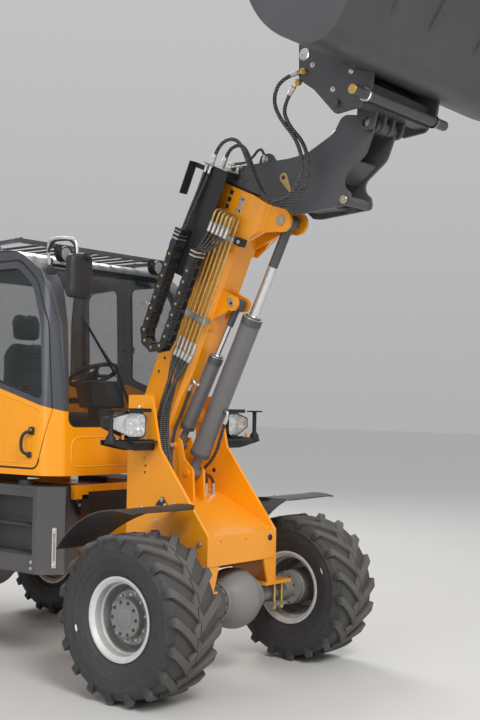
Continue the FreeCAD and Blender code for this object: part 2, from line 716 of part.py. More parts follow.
PIPE_R = 8.0
PIPE_Y = -165.0
PIPE_ROWS = [30, -5, -40, -75, -110]    # above the boom line
CLAMPS = [700, 1235]                    # along the boom


def boom_pipes():
    """Five steel pipes up the boom's right side, each bent over at the top, in two clamps."""
    pieces = []
    for row in PIPE_ROWS:
        bend = 35
        top = 1345
        up = bar((520, PIPE_Y, row), (top, PIPE_Y, row), PIPE_R)
        down = bar((top - 70, PIPE_Y - 2 * bend, row), (top, PIPE_Y - 2 * bend, row), PIPE_R)
        over = Part.makeTorus(bend, PIPE_R, vec(top, PIPE_Y - bend, row), vec(0, 0, 1), -180, 180,
                              180)
        over.rotate(vec(top, PIPE_Y - bend, row), vec(0, 0, 1), -90)
        fitting = bar((470, PIPE_Y, row), (525, PIPE_Y, row), 12)
        pieces += [up, over, down, fitting]
    for along in CLAMPS:
        pieces.append(box((along - 18, along + 18), (PIPE_Y - 16, -BOOM_Y - 8.5), (-128, 48)))
    clamp_low = CLAMPS[0]
    pieces.append(box((clamp_low - 18, clamp_low + 18), (-BOOM_Y - 8.5, -BOOM_Y), (-40, 40)))
    return raised(fused(*pieces).cut(fused(box((1140, 1540), (-125, 0), (-300, 300)),
                                           box((630, 1150), (-118, 0), (-300, 151)))))


CHAIN_R = 92.0
CHAIN_LOW = 520.0


def energy_chain():
    """The hose carrier chain: two straight runs joined by a half-round bend."""
    outer, inner = CHAIN_R + 28, CHAIN_R - 28
    middle = 105.0

    def loop(radius):
        return slab("xz", [(1200, middle + radius), (1200, middle - radius),
                           (CHAIN_LOW - radius, middle - radius, radius - 0.5),
                           (CHAIN_LOW - radius, middle + radius, radius - 0.5)], -330, -240)

    return raised(loop(outer).cut(loop(inner)).cut(box((1190, 1300), (-400, 0),
                                                       (middle - inner, middle + inner))))


def hose_guard():
    """Long channel beside the head that carries the hose bulkhead, on the inner boom."""
    plate = box((900, 1606), (-232, -224), (40, 236))
    lip = box((900, 1606), (-224, -140), (228, 236))
    bulkhead = box((1600, 1612), (-236, -120.2), (40, 236))
    cover = box((1380, 1590), (-300, -232), (300, 308))
    post = box((1560, 1590), (-240, -232), (200, 308))
    arm = box((1570, 1600), (-224, -120.2), (40, 110))
    return raised(fused(plate, lip, bulkhead, cover, post, arm))


# ---- arm head and tool carrier ----
ARM_Y = 100.0
ARM_PLATE = 20.0
ARM_PROFILE = [(-30, 3092), (60, 3140, 60), (517, 3140, 200), (650, 3152, 100), (842, 3244, 80),
               (905, 3345, 60), (1045, 3320, 30), (1125, 3318, 34), (1112, 3228, 30),
               (1060, 3100, 100), (880, 2962, 60), (955, 2895, 20), (968, 2826, 36),
               (600, 2800, 120), (430, 2828, 60), (330, 2870, 60), (242, 2975)]


def gooseneck():
    """Bent arm head: two plates, webs above and below, and the pins at both ends."""
    right = slab("xz", ARM_PROFILE, -ARM_Y - ARM_PLATE, -ARM_Y)
    keep_off = slab("xz", [on_boom(1000, -60), on_boom(1000, -500), on_boom(1500, -500),
                           on_boom(1545, -350), on_boom(1545, -60)], -300, 300)
    right = right.cut(keep_off)
    top_web = slab("xz", [(10, 3108), (60, 3136, 40), (420, 3136), (420, 3122),
                          (66, 3122, 40), (16, 3096)], -ARM_Y, ARM_Y)
    low_web = slab("xz", [(600, 2830), (800, 2830), (800, 2846), (600, 2846)], -ARM_Y, ARM_Y)
    front_web = slab("xz", [(870, 2966), (1000, 3066), (990, 3078), (860, 2978)], -ARM_Y, ARM_Y)
    end_x, end_z = on_boom(1560, 0)
    socket = raised(box((1560, 1580), (-ARM_Y, ARM_Y), (-75, 190)))
    cross = pin((925, 2852), -ARM_Y - 30, ARM_Y + 30, 28)
    pins = [pin(CARRIER_PIVOT, -ARM_Y - 32, ARM_Y + 32, 25), pin(TILT_BASE, -ARM_Y, ARM_Y, 20)]
    ear = slab("xz", [(250, 3130), (400, 3130), (350, 3205, 35), (275, 3205, 35)], -70, -50)
    return fused(right, mirrored(right), top_web, low_web, front_web, socket, cross, ear, *pins)


def bucket_place(along, up):
    """X and Z of a place in the bucket, along its floor and up from it."""
    angle = math.radians(BUCKET_ANGLE)
    x = BUCKET_HEEL[0] + along * math.cos(angle) - up * math.sin(angle)
    z = BUCKET_HEEL[1] + along * math.sin(angle) + up * math.cos(angle)
    return x, z


def bucket_outline(inset):
    """Side view of the bucket: flat floor, round heel and back, up to the top lip."""
    def at(along, up):
        x, z = bucket_place(along, up)
        return vec(x, 0, z)

    centre, radius = (429.0, 310.0), 518.0 - inset
    lip_up = 760.0
    lip_along = centre[0] - math.sqrt(radius ** 2 - (lip_up - centre[1]) ** 2)
    start_up = 150.0
    start_along = centre[0] - math.sqrt(radius ** 2 - (start_up - centre[1]) ** 2)
    edges = [
        Part.LineSegment(at(850, inset), at(90, inset)),
        Part.Arc(at(90, inset), at(-15 + inset * 0.8, 52 + inset * 0.6),
                 at(start_along, start_up)),
        Part.Arc(at(start_along, start_up), at(centre[0] - radius, centre[1]),
                 at(lip_along, lip_up)),
        Part.LineSegment(at(lip_along, lip_up), at(850, inset)),
    ]
    return Part.Face(Part.Wire([edge.toShape() for edge in edges]))


def bucket_block():
    face = bucket_outline(0)
    face.translate(vec(0, -BUCKET_Y, 0))
    return face.extrude(vec(0, 2 * BUCKET_Y, 0))


def bucket():
    """Shell, thick side plates, cutting edge and a stiffened top lip."""
    outer = bucket_block()
    face = bucket_outline(BUCKET_PLATE)
    hollow = face.extrude(vec(0, 2 * (BUCKET_Y - BUCKET_PLATE), 0))
    hollow.translate(vec(0, -(BUCKET_Y - BUCKET_PLATE), 0))
    mouth = slab("xz", [bucket_place(850, BUCKET_PLATE), bucket_place(900, BUCKET_PLATE),
                        bucket_place(260, 900), bucket_place(185, 762)],
                 -(BUCKET_Y - BUCKET_PLATE), BUCKET_Y - BUCKET_PLATE)
    edge = slab("xz", [bucket_place(700, 0), bucket_place(890, 0), bucket_place(872, 20),
                       bucket_place(700, 20)], -BUCKET_Y, BUCKET_Y)
    lip = slab("xz", [bucket_place(135, 735), bucket_place(172, 760), bucket_place(200, 745),
                      bucket_place(165, 715)], -BUCKET_Y, BUCKET_Y)
    return fused(outer.cut(hollow).cut(mouth), edge, lip)


CARRIER_Y = 340.0
CARRIER_PLATE = 20.0


def carrier():
    """Tool carrier: outer plates, cross bar, beams and the lugs that take pivot and rod."""
    side = slab("xz", [(764, 3720, 20), (768, 3514, 20), (873, 3439, 20), (1017, 3282, 30),
                       (1173, 3296, 30), (1248, 3388, 30), (1270, 3520), (1100, 3640),
                       (940, 3800)], -CARRIER_Y - CARRIER_PLATE, -CARRIER_Y)
    beam = box((1120, 1200), (-CARRIER_Y, CARRIER_Y), (3314, 3345))
    front = slab("xz", [(1180, 3340), (1200, 3340), (1200, 3440), (1180, 3440)],
                 -CARRIER_Y, CARRIER_Y)
    top = pin((806, 3650), -CARRIER_Y, CARRIER_Y, 32)
    cross = pin((1216, 3357), -490, 490, 30)
    back = slab("xz", [(1180, 3425), (1200, 3440), (960, 3630), (860, 3720), (845, 3708),
                       (950, 3612)], -CARRIER_Y, CARRIER_Y)
    lug = slab("xz", [(1040, 3225, 44), (1132, 3222, 44), (1150, 3300), (1160, 3470),
                      (1060, 3480), (962, 3392, 34), (960, 3320, 34)], -58, -32)
    collar = pin(CARRIER_PIVOT, -92, 92, 44)
    bore = pin(CARRIER_PIVOT, -100, 100, 25.1)
    outer_lug = slab("xz", [(1040, 3225, 44), (1132, 3222, 44), (1160, 3330), (1190, 3440),
                            (1120, 3460), (1040, 3330, 20)], -158, -136)
    outer_bore = pin(CARRIER_PIVOT, -170, 170, 25.1)
    stub = pin((1030, 3336), -CARRIER_Y - 45, -CARRIER_Y - CARRIER_PLATE, 22)
    whole = fused(side, mirrored(side), beam, front, top, cross, back, lug, mirrored(lug),
                  collar, outer_lug, mirrored(outer_lug), stub, mirrored(stub))
    return whole.cut(bore).cut(outer_bore).cut(bucket_block())


# ---- cylinders ----
def cylinder(base, eye, barrel_r, rod_r, lug, closed, width, travel):
    """Barrel and rod between two pins, each (X, Z). lug is how far the barrel starts past its
    pin, closed the barrel's length from the pin, width the eyes' half width, and travel how far
    the rod goes in from here."""
    start, end = vec(base[0], 0, base[1]), vec(eye[0], 0, eye[1])
    way = (end - start).normalize()

    def at(distance):
        return tuple(start + way * distance)

    length = (end - start).Length
    inside = 200
    barrel = [bar(at(lug), at(closed), barrel_r), bar(at(closed), at(closed + 16), rod_r + 16),
              pin(base, -width, width, barrel_r * 0.62), bar(at(20), at(lug), barrel_r * 0.5)]
    barrel = fused(*barrel).cut(pin(base, -width - 5, width + 5, PINS[base]))
    hollow = bar(at(closed - inside - travel - 10), at(closed + 20), rod_r + 0.1)
    rod = fused(bar(at(closed - inside), at(length - 20), rod_r),
                pin(eye, -width, width, rod_r * 1.5))
    return barrel.cut(hollow), rod


PINS = {LIFT_BASE: 22.1, LEVEL_BASE: 20.1, TILT_BASE: 20.1}


def boom_cylinders():
    lift = cylinder(LIFT_BASE, on_boom(*LIFT_EYE), 63, 30, 120, 1080, 36, 545)
    level = cylinder(LEVEL_BASE, on_boom(*LEVEL_EYE), 45, 23, 125, 640, 34, 270)
    tilt = cylinder(TILT_BASE, TILT_EYE, 42, 22, 95, 470, 28, 80)
    return lift, level, tilt


def steering_cylinder():
    """Barrel on the rear frame and rod on the tongue's ears, lying flat beside the hinge."""
    start = vec(STEER_BASE[0], STEER_BASE[1], STEER_Z)
    end = vec(STEER_EYE[0], STEER_EYE[1], STEER_Z)
    way = (end - start).normalize()
    length = (end - start).Length
    barrel = Part.makeCylinder(28, 285, start + way * 35, way)
    tail = Part.makeCylinder(16, 40, start, way)
    eye = Part.makeCylinder(21, 36, start - vec(0, 0, 18))
    eye_bore = Part.makeCylinder(12.1, 50, start - vec(0, 0, 25))
    hollow = Part.makeCylinder(14.1, 290, start + way * 45, way)
    rod = Part.makeCylinder(14, length - 225 - 15, start + way * 225, way)
    rod_eye = Part.makeCylinder(22, 32, end - vec(0, 0, 16))
    return fused(barrel, tail, eye).cut(eye_bore).cut(hollow), fused(rod, rod_eye)


# ---- hoses ----
# Points of the runs between bends. A hose's curve passes close to the middle of each run.
BOOM_HOSE_R = 10.0
TOOL_HOSE_R = 11.0
# where each boom hose lies in the bundle beside the boom pivot: forwards, to the right
BUNDLE = [(-12, 11), (-12, 33), (10, 0), (10, 22), (10, 44)]


def boom_hose_points(row, place):
    """From a boom pipe's lower end down past the boom pivot to the tower's deck."""
    forward, right = BUNDLE[place]
    (x0, z0), (x1, z1) = on_boom(467, row), on_boom(355, row * 0.8)
    mid = (x1 + row * 0.2 - 372) / 2 + forward / 2
    return [
        (x0, PIPE_Y, z0), (x1, PIPE_Y - right * 0.2, z1),
        (mid, PIPE_Y - 5 - right * 0.8, 1780), (-392 + forward, PIPE_Y - 15 - right, 1610),
        (-385 + forward, PIPE_Y - 20 - right, 1430), (-340 + forward, PIPE_Y - 20 - right, 1270),
        (-300 + forward, PIPE_Y - 20 - right, 1112),
    ]


TOOL_HOSES = [
    [(13, -225, 3152), (57, -230, 3250), (159, -240, 3292), (261, -250, 3250),
     (352, -262, 3060), (468, -280, 2868), (658, -290, 2855), (770, -300, 3000),
     (735, -315, 3180), (612, -335, 3325), (575, -350, 3440), (645, -362, 3545),
     (768, -372, 3548)],
    [(48, -165, 3138), (87, -172, 3225), (175, -186, 3260), (263, -200, 3225),
     (352, -222, 3040), (480, -240, 2842), (675, -254, 2832), (792, -268, 2985),
     (765, -290, 3165), (668, -318, 3275), (636, -340, 3388), (740, -372, 3470)],
]


def boom_hoses():
    """Five hoses in a bundle. Prints each one's bend radii."""
    hoses = []
    for place, row in enumerate(PIPE_ROWS):
        hose, radii = pipe(boom_hose_points(row, place), BOOM_HOSE_R)
        print(f"boom hose {place}: radii", [round(r) for r in radii])
        hoses.append(hose)
    return Part.makeCompound(hoses)


def tool_hoses():
    """Two hoses from the bulkhead beside the boom's end to the tool carrier."""
    hoses = []
    for place, points in enumerate(TOOL_HOSES):
        hose, radii = pipe(points, TOOL_HOSE_R)
        print(f"tool hose {place}: radii", [round(r) for r in radii])
        hoses.append(hose)
    return Part.makeCompound(hoses)


# ---- assembly ----
def assembly():
    parts = {
        "front_frame": front_frame(), "front_axle": front_axle(),
        "front_fenders": front_fenders(), "headlights": headlights(),
        "rear_frame": rear_frame(), "rear_axle": rear_axle(), "rear_fenders": rear_fenders(),
        "junction_box": junction_box(), "engine_block": engine_block(),
        "counterweight": counterweight(),
        "tow_hitch": tow_hitch(), "tow_jaw": tow_jaw(), "side_tanks": side_tanks(),
        "roof_guard": roof_guard(),
        "work_lights": work_lights(), "seat_base": seat_base(),
        "seat_cushion": seat_cushion(), "seat_back": seat_back(),
        "steering_column": steering_column(), "steering_wheel": steering_wheel(),
        "mirrors": mirrors(), "hood": hood(), "exhaust_stack": exhaust_stack(),
        "tail_lights": tail_lights(), "boom_tube": boom_tube(), "boom_pipes": boom_pipes(),
        "energy_chain": energy_chain(), "inner_tube": inner_tube(), "gooseneck": gooseneck(),
        "hose_guard": hose_guard(), "carrier": carrier(), "bucket": bucket(),
        "boom_hoses": boom_hoses(), "tool_hoses": tool_hoses(),
    }
    parts.update(cab())
    places = {"front": 0.0, "rear": -WHEELBASE}
    for end, x in places.items():
        for name, side in (("right", -1), ("left", 1)):
            parts[f"{end}_{name}_tyre"] = tyre(x, side)
            parts[f"{end}_{name}_rim"] = rim(x, side)
    for name, (barrel, rod) in zip(("lift", "level", "tilt"), boom_cylinders()):
        parts[f"{name}_barrel"] = barrel
        parts[f"{name}_rod"] = rod
    parts["steering_barrel"], parts["steering_rod"] = steering_cylinder()
    return parts


def main():
    os.makedirs("parts", exist_ok=True)
    for name, shape in assembly().items():
        shape.translate(vec(LENGTH_SHIFT, 0, 0))
        shape.exportStep(f"parts/{name}.step")
        bounds = shape.BoundBox
        print(f"{name}: {len(shape.Solids)} solids, X {bounds.XMin:.0f} to {bounds.XMax:.0f},"
              f" Y {bounds.YMin:.0f} to {bounds.YMax:.0f}, Z {bounds.ZMin:.0f} to"
              f" {bounds.ZMax:.0f}, valid {shape.isValid()}")


main()
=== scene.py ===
import sys

import json
import math

import bmesh
import bpy
from bpy.props import FloatProperty, FloatVectorProperty, IntProperty, PointerProperty
from mathutils import Matrix, Vector
from mathutils.bvhtree import BVHTree
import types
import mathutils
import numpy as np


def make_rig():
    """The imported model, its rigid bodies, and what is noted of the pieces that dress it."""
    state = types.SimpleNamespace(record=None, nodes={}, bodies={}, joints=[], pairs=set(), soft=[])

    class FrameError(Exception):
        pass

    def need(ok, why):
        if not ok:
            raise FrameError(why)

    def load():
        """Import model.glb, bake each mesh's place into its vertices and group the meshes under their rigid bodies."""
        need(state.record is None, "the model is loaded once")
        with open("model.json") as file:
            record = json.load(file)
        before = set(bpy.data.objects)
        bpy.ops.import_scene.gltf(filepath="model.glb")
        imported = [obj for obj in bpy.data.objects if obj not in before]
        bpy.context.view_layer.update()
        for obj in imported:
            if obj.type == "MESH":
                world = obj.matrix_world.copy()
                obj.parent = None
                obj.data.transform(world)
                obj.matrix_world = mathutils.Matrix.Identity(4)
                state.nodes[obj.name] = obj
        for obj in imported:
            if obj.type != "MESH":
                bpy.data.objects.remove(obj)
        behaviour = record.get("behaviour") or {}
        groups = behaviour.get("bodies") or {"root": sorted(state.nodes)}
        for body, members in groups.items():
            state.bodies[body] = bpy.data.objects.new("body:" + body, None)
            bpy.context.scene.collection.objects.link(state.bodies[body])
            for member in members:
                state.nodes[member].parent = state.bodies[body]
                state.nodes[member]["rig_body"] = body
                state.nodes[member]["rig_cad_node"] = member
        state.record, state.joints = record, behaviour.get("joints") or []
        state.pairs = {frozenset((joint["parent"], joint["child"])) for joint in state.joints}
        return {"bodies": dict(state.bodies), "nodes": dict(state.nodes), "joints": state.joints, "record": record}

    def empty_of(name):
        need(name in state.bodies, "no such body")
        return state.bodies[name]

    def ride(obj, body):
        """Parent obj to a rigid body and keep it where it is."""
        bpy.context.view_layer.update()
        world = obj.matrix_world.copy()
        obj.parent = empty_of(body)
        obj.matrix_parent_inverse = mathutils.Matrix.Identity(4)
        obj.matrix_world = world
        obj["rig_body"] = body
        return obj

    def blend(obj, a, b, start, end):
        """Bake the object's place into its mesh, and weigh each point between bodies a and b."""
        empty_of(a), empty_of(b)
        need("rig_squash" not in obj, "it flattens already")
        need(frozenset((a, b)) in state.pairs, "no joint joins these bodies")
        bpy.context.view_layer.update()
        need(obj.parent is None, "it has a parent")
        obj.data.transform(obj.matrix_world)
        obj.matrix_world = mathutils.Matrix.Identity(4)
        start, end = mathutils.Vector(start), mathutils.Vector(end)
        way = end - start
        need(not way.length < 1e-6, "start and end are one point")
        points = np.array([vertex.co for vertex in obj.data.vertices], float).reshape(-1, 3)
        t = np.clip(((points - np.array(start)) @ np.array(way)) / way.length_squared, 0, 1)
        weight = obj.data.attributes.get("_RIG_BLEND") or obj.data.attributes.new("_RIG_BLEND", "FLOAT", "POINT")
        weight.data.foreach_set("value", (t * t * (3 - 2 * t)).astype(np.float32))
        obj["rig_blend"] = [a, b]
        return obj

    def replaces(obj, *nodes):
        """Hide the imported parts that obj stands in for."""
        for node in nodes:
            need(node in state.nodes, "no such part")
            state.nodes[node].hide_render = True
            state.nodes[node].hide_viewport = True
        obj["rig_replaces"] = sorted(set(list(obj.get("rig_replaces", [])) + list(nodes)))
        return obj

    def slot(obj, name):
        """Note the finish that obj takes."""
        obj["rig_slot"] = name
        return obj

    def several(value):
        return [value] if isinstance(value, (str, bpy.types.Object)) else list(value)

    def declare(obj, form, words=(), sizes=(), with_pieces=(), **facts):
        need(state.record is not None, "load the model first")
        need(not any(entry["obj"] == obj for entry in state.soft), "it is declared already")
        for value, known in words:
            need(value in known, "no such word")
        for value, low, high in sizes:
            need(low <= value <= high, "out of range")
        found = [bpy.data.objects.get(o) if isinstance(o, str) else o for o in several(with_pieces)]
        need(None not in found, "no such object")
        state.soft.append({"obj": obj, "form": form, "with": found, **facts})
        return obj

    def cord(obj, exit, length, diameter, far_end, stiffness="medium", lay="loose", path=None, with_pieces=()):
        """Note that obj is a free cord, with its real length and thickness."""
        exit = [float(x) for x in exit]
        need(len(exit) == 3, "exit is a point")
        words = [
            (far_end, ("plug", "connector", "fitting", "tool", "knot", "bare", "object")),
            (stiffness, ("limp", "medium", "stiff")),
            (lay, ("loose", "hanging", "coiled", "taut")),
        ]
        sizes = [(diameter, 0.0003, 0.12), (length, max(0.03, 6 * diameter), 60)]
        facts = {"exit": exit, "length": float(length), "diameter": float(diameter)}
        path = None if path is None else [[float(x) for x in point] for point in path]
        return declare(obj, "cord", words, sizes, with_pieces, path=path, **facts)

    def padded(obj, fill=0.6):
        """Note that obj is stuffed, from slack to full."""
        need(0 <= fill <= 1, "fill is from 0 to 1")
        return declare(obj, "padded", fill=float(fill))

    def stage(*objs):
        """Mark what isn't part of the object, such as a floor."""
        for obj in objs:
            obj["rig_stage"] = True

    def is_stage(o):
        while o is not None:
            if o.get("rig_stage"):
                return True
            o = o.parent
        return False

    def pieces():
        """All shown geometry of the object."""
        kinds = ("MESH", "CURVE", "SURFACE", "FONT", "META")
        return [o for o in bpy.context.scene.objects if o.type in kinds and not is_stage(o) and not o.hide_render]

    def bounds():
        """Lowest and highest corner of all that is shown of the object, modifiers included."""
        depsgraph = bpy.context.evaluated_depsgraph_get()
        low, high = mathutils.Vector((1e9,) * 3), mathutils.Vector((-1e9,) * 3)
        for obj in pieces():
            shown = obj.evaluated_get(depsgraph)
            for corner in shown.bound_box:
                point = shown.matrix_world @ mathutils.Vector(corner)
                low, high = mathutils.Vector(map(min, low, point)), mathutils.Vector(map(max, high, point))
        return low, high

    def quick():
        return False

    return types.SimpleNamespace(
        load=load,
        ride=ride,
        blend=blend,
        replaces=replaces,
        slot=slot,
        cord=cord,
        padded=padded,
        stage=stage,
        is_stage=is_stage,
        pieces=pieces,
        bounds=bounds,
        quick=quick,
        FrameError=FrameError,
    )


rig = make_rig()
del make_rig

bl_info = {
    "name": "Telescopic Loader",
    "version": (1, 0, 0),
    "blender": (4, 5, 0),
    "location": "3D View > Sidebar > Loader",
    "description": "Paint, tyres, hoses, lamps and fittings of a telescopic wheel loader",
    "category": "Add Mesh",
}

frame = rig.load()
NODES = frame["nodes"]
CAD_BOX = [list(corner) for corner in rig.bounds()]

# Drawing numbers are millimetres with X measured from the front axle. The row frame
# is metres with X measured from the middle of the machine.
SHIFT = 785.0
BOOM_PIVOT = (-470.0, 1600.0)
BOOM_ANGLE = 66.0
AXLE_Z = 472.5
TRACK = 1562.0
WHEELBASE = 2350.0
WHEEL_NAMES = [f"{end}_{side}" for end in ("front", "rear") for side in ("right", "left")]


def at(x, y, z):
    """A place in the row frame."""
    return Vector((x + SHIFT, y, z)) / 1000


def on_boom(along, across, above):
    """A place on the raised boom: towards the bucket, to the left, and up off its line."""
    angle = math.radians(BOOM_ANGLE)
    x = BOOM_PIVOT[0] + along * math.cos(angle) - above * math.sin(angle)
    z = BOOM_PIVOT[1] + along * math.sin(angle) + above * math.cos(angle)
    return at(x, across, z)


ALONG = Vector((math.cos(math.radians(BOOM_ANGLE)), 0, math.sin(math.radians(BOOM_ANGLE))))
ABOVE = Vector((-ALONG.z, 0, ALONG.x))
FORWARD, LEFT, UP = Vector((1, 0, 0)), Vector((0, 1, 0)), Vector((0, 0, 1))
BACK, RIGHT, DOWN = FORWARD * -1, LEFT * -1, UP * -1
SIDES = ((-1, RIGHT), (1, LEFT))


def pose(place, out, along=None):
    """A matrix whose Z looks out and whose X leans along."""
    z = Vector(out).normalized()
    x = Vector(along) if along is not None else (UP if abs(z.z) < 0.9 else FORWARD)
    x = (x - z * x.dot(z)).normalized()
    turn = Matrix((x, z.cross(x), z)).transposed().to_4x4()
    return Matrix.Translation(place) @ turn


def polar(radius, turn, up):
    """A place about an axis, from millimetres and a turn in radians."""
    return Vector((radius * math.cos(turn), radius * math.sin(turn), up)) / 1000


def spaced(points, gap=0.0, count=1):
    """Pairs along an outline: at most gap apart, or a count to each edge."""
    found = []
    for (x0, z0), (x1, z1) in zip(points, points[1:]):
        steps = max(1, int(math.hypot(x1 - x0, z1 - z0) / gap)) if gap else count
        found += [(x0 + (x1 - x0) * i / steps, z0 + (z1 - z0) * i / steps) for i in range(steps)]
    return found + [points[-1]]


# ---- shader maths ----
class Reading:
    """A socket whose number varies over a surface. Sums on it add Math nodes."""

    def __init__(self, finish, socket):
        self.finish, self.socket = finish, socket

    def sum(self, operation, *terms):
        return self.finish.node("ShaderNodeMath", {"operation": operation}, dict(enumerate(terms)))

    def __add__(self, other):
        return self.sum("ADD", self, other)

    def __sub__(self, other):
        return self.sum("SUBTRACT", self, other)

    def __rsub__(self, other):
        return self.sum("SUBTRACT", other, self)

    def __mul__(self, other):
        return self.sum("MULTIPLY", self, other)

    def __pow__(self, other):
        return self.sum("POWER", self, other)

    def __gt__(self, other):
        return self.sum("GREATER_THAN", self, other)

    __radd__, __rmul__ = __add__, __mul__

    def least(self, other):
        return self.sum("MINIMUM", self, other)

    def wave(self):
        return self.sum("SINE", self)

    def size(self):
        return self.sum("ABSOLUTE", self)


DUST_ROUGHNESS = 0.35          # what a full layer of dust adds


class Finish:
    """One material: its node tree, the nodes that vary it and its Principled shader."""

    def __init__(self, name, colour, roughness, metallic=0.0, **plain):
        self.material = bpy.data.materials.new(name)
        self.material.use_nodes = True
        self.tree = self.material.node_tree
        self.tree.nodes.clear()
        self.shader = self.tree.nodes.new("ShaderNodeBsdfPrincipled")
        target = self.tree.nodes.new("ShaderNodeOutputMaterial")
        self.tree.links.new(self.shader.outputs[0], target.inputs["Surface"])
        self.colour, self.roughness = tuple(colour[:3]) + (1.0,), roughness
        self.set("Metallic", metallic)
        for key, value in plain.items():
            self.set(key.replace("_", " "), value)

    def put(self, socket, value):
        if isinstance(value, Reading):
            self.tree.links.new(value.socket, socket)
        else:
            socket.default_value = value

    def set(self, name, value):
        self.put(self.shader.inputs[name], value)

    def node(self, kind, settings=None, inputs=None, out=0):
        """Adds a node: its settings first, then the values or links of its sockets."""
        made = self.tree.nodes.new(kind)
        for key, value in (settings or {}).items():
            setattr(made, key, value)
        for key, value in (inputs or {}).items():
            self.put(made.inputs[key], value)
        return Reading(self, made.outputs[out])

    def place(self):
        """Where a point is on the machine at rest, in metres."""
        return self.node("ShaderNodeTexCoord", out="Object")

    def stretched(self, x, y, z):
        return self.node("ShaderNodeMapping", {"vector_type": "POINT"},
            {"Vector": self.place(), "Scale": (x, y, z)})

    def along(self, axis, vector=None):
        """The place's distance along an axis, or another vector's share of it."""
        return self.node("ShaderNodeSeparateXYZ", inputs={"Vector": vector or self.place()},
            out=axis)

    def height(self):
        return self.along("Z")

    def noise(self, scale, detail, rough=0.5, where=None):
        return self.node("ShaderNodeTexNoise", {"normalize": True}, {"Vector": where
            or self.place(), "Scale": scale, "Detail": detail, "Roughness": rough})

    def cells(self, scale):
        return self.node("ShaderNodeTexVoronoi", {"feature": "F1"},
            {"Vector": self.place(), "Scale": scale}, out="Distance")

    def step(self, reading, low, high):
        """0 below low and 1 above high, evenly between."""
        return self.node("ShaderNodeMapRange", {"clamp": True},
            {"Value": reading, "From Min": low, "From Max": high})

    def facing_up(self):
        return self.along("Z", self.node("ShaderNodeNewGeometry", out="Normal"))

    def mix(self, share, one, other):
        colours = [c if isinstance(c, Reading) else tuple(c[:3]) + (1.0,) for c in (one, other)]
        return self.node("ShaderNodeMix", {"data_type": "RGBA"},
            {0: share, 6: colours[0], 7: colours[1]}, out=2)

    def tint(self, share, other):
        """Moves the finish's colour towards another by a varying share."""
        self.colour = self.mix(share, self.colour, other)

    def relief(self, height, distance, strength):
        """A Bump node on the normal. A second call adds to the first."""
        inputs = {"Height": height, "Distance": distance, "Strength": strength}
        linked = self.shader.inputs["Normal"].links
        if linked:
            inputs["Normal"] = Reading(self, linked[0].from_socket)
        self.set("Normal", self.node("ShaderNodeBump", inputs=inputs))

    def dust(self, top, amount, colour=(0.23, 0.2, 0.16)):
        """Dry dust: on upward faces, and everywhere towards the ground."""
        patches = self.noise(5.0, 5.0, 0.65)
        low = self.step(self.height() + (patches - 0.5) * 0.5, top, 0.0)
        up = self.step(self.facing_up(), 0.35, 1.0) * self.step(patches, 0.35, 0.75)
        share = ((low * 0.8 + up * 0.45) * amount).least(0.85)
        self.tint(share, colour)
        self.roughness = self.roughness + share * DUST_ROUGHNESS

    def done(self):
        self.put(self.shader.inputs["Base Color"], self.colour)
        self.put(self.shader.inputs["Roughness"], self.roughness)
        return self.material


def light_of(colour):
    """A screen colour, 0 to 255, as the light that it stands for."""
    return tuple(((c / 255 + 0.055) / 1.055) ** 2.4 if c > 10 else c / 255 / 12.92 for c in colour)


# ---- settings that a user would change ----
def shade(name, screen, description):
    """A colour setting, from its screen colour."""
    return FloatVectorProperty(name=name, description=description, subtype="COLOR", size=3,
        min=0.0, max=1.0, default=light_of(screen))


class LoaderColours(bpy.types.PropertyGroup):
    """The paints, rubber and cloth that a user would change."""
    body: shade("Body paint", (250, 160, 10), "Paint of the tower, boom, cab tub and hood")
    dark: shade("Dark paint", (68, 68, 71), "Paint of the bucket, carrier, cylinders and tanks")
    axle: shade("Axle paint", (130, 130, 132), "Paint of both axles")
    rim: shade("Rim paint", (214, 214, 214), "Paint of the wheel rims")
    cab: shade("Cab frame paint", (66, 69, 76), "Paint of the cab's pillars and roof")
    tyre: shade("Tyre rubber", (42, 42, 44), "Rubber of the tyres")
    seat: shade("Seat cloth", (52, 54, 58), "Cloth of the seat")


class LoaderSizes(bpy.types.PropertyGroup):
    """The counts and sizes that a user would change."""
    lug_pairs: IntProperty(name="Lug pairs", description="Tread lugs on each half of a tyre",
        default=18, min=8, max=40)
    chain_pitch: FloatProperty(name="Chain pitch", description="Length of one hose chain link",
        default=0.0725, min=0.03, max=0.15, unit="LENGTH")
    edge: FloatProperty(name="Plate edge", description="Rounding of the steel plates' edges",
        default=0.0022, min=0.0, max=0.01, unit="LENGTH")
    lens: FloatProperty(name="Lens", description="Focal length of the camera", default=56.0,
        min=10.0, max=300.0, unit="CAMERA")


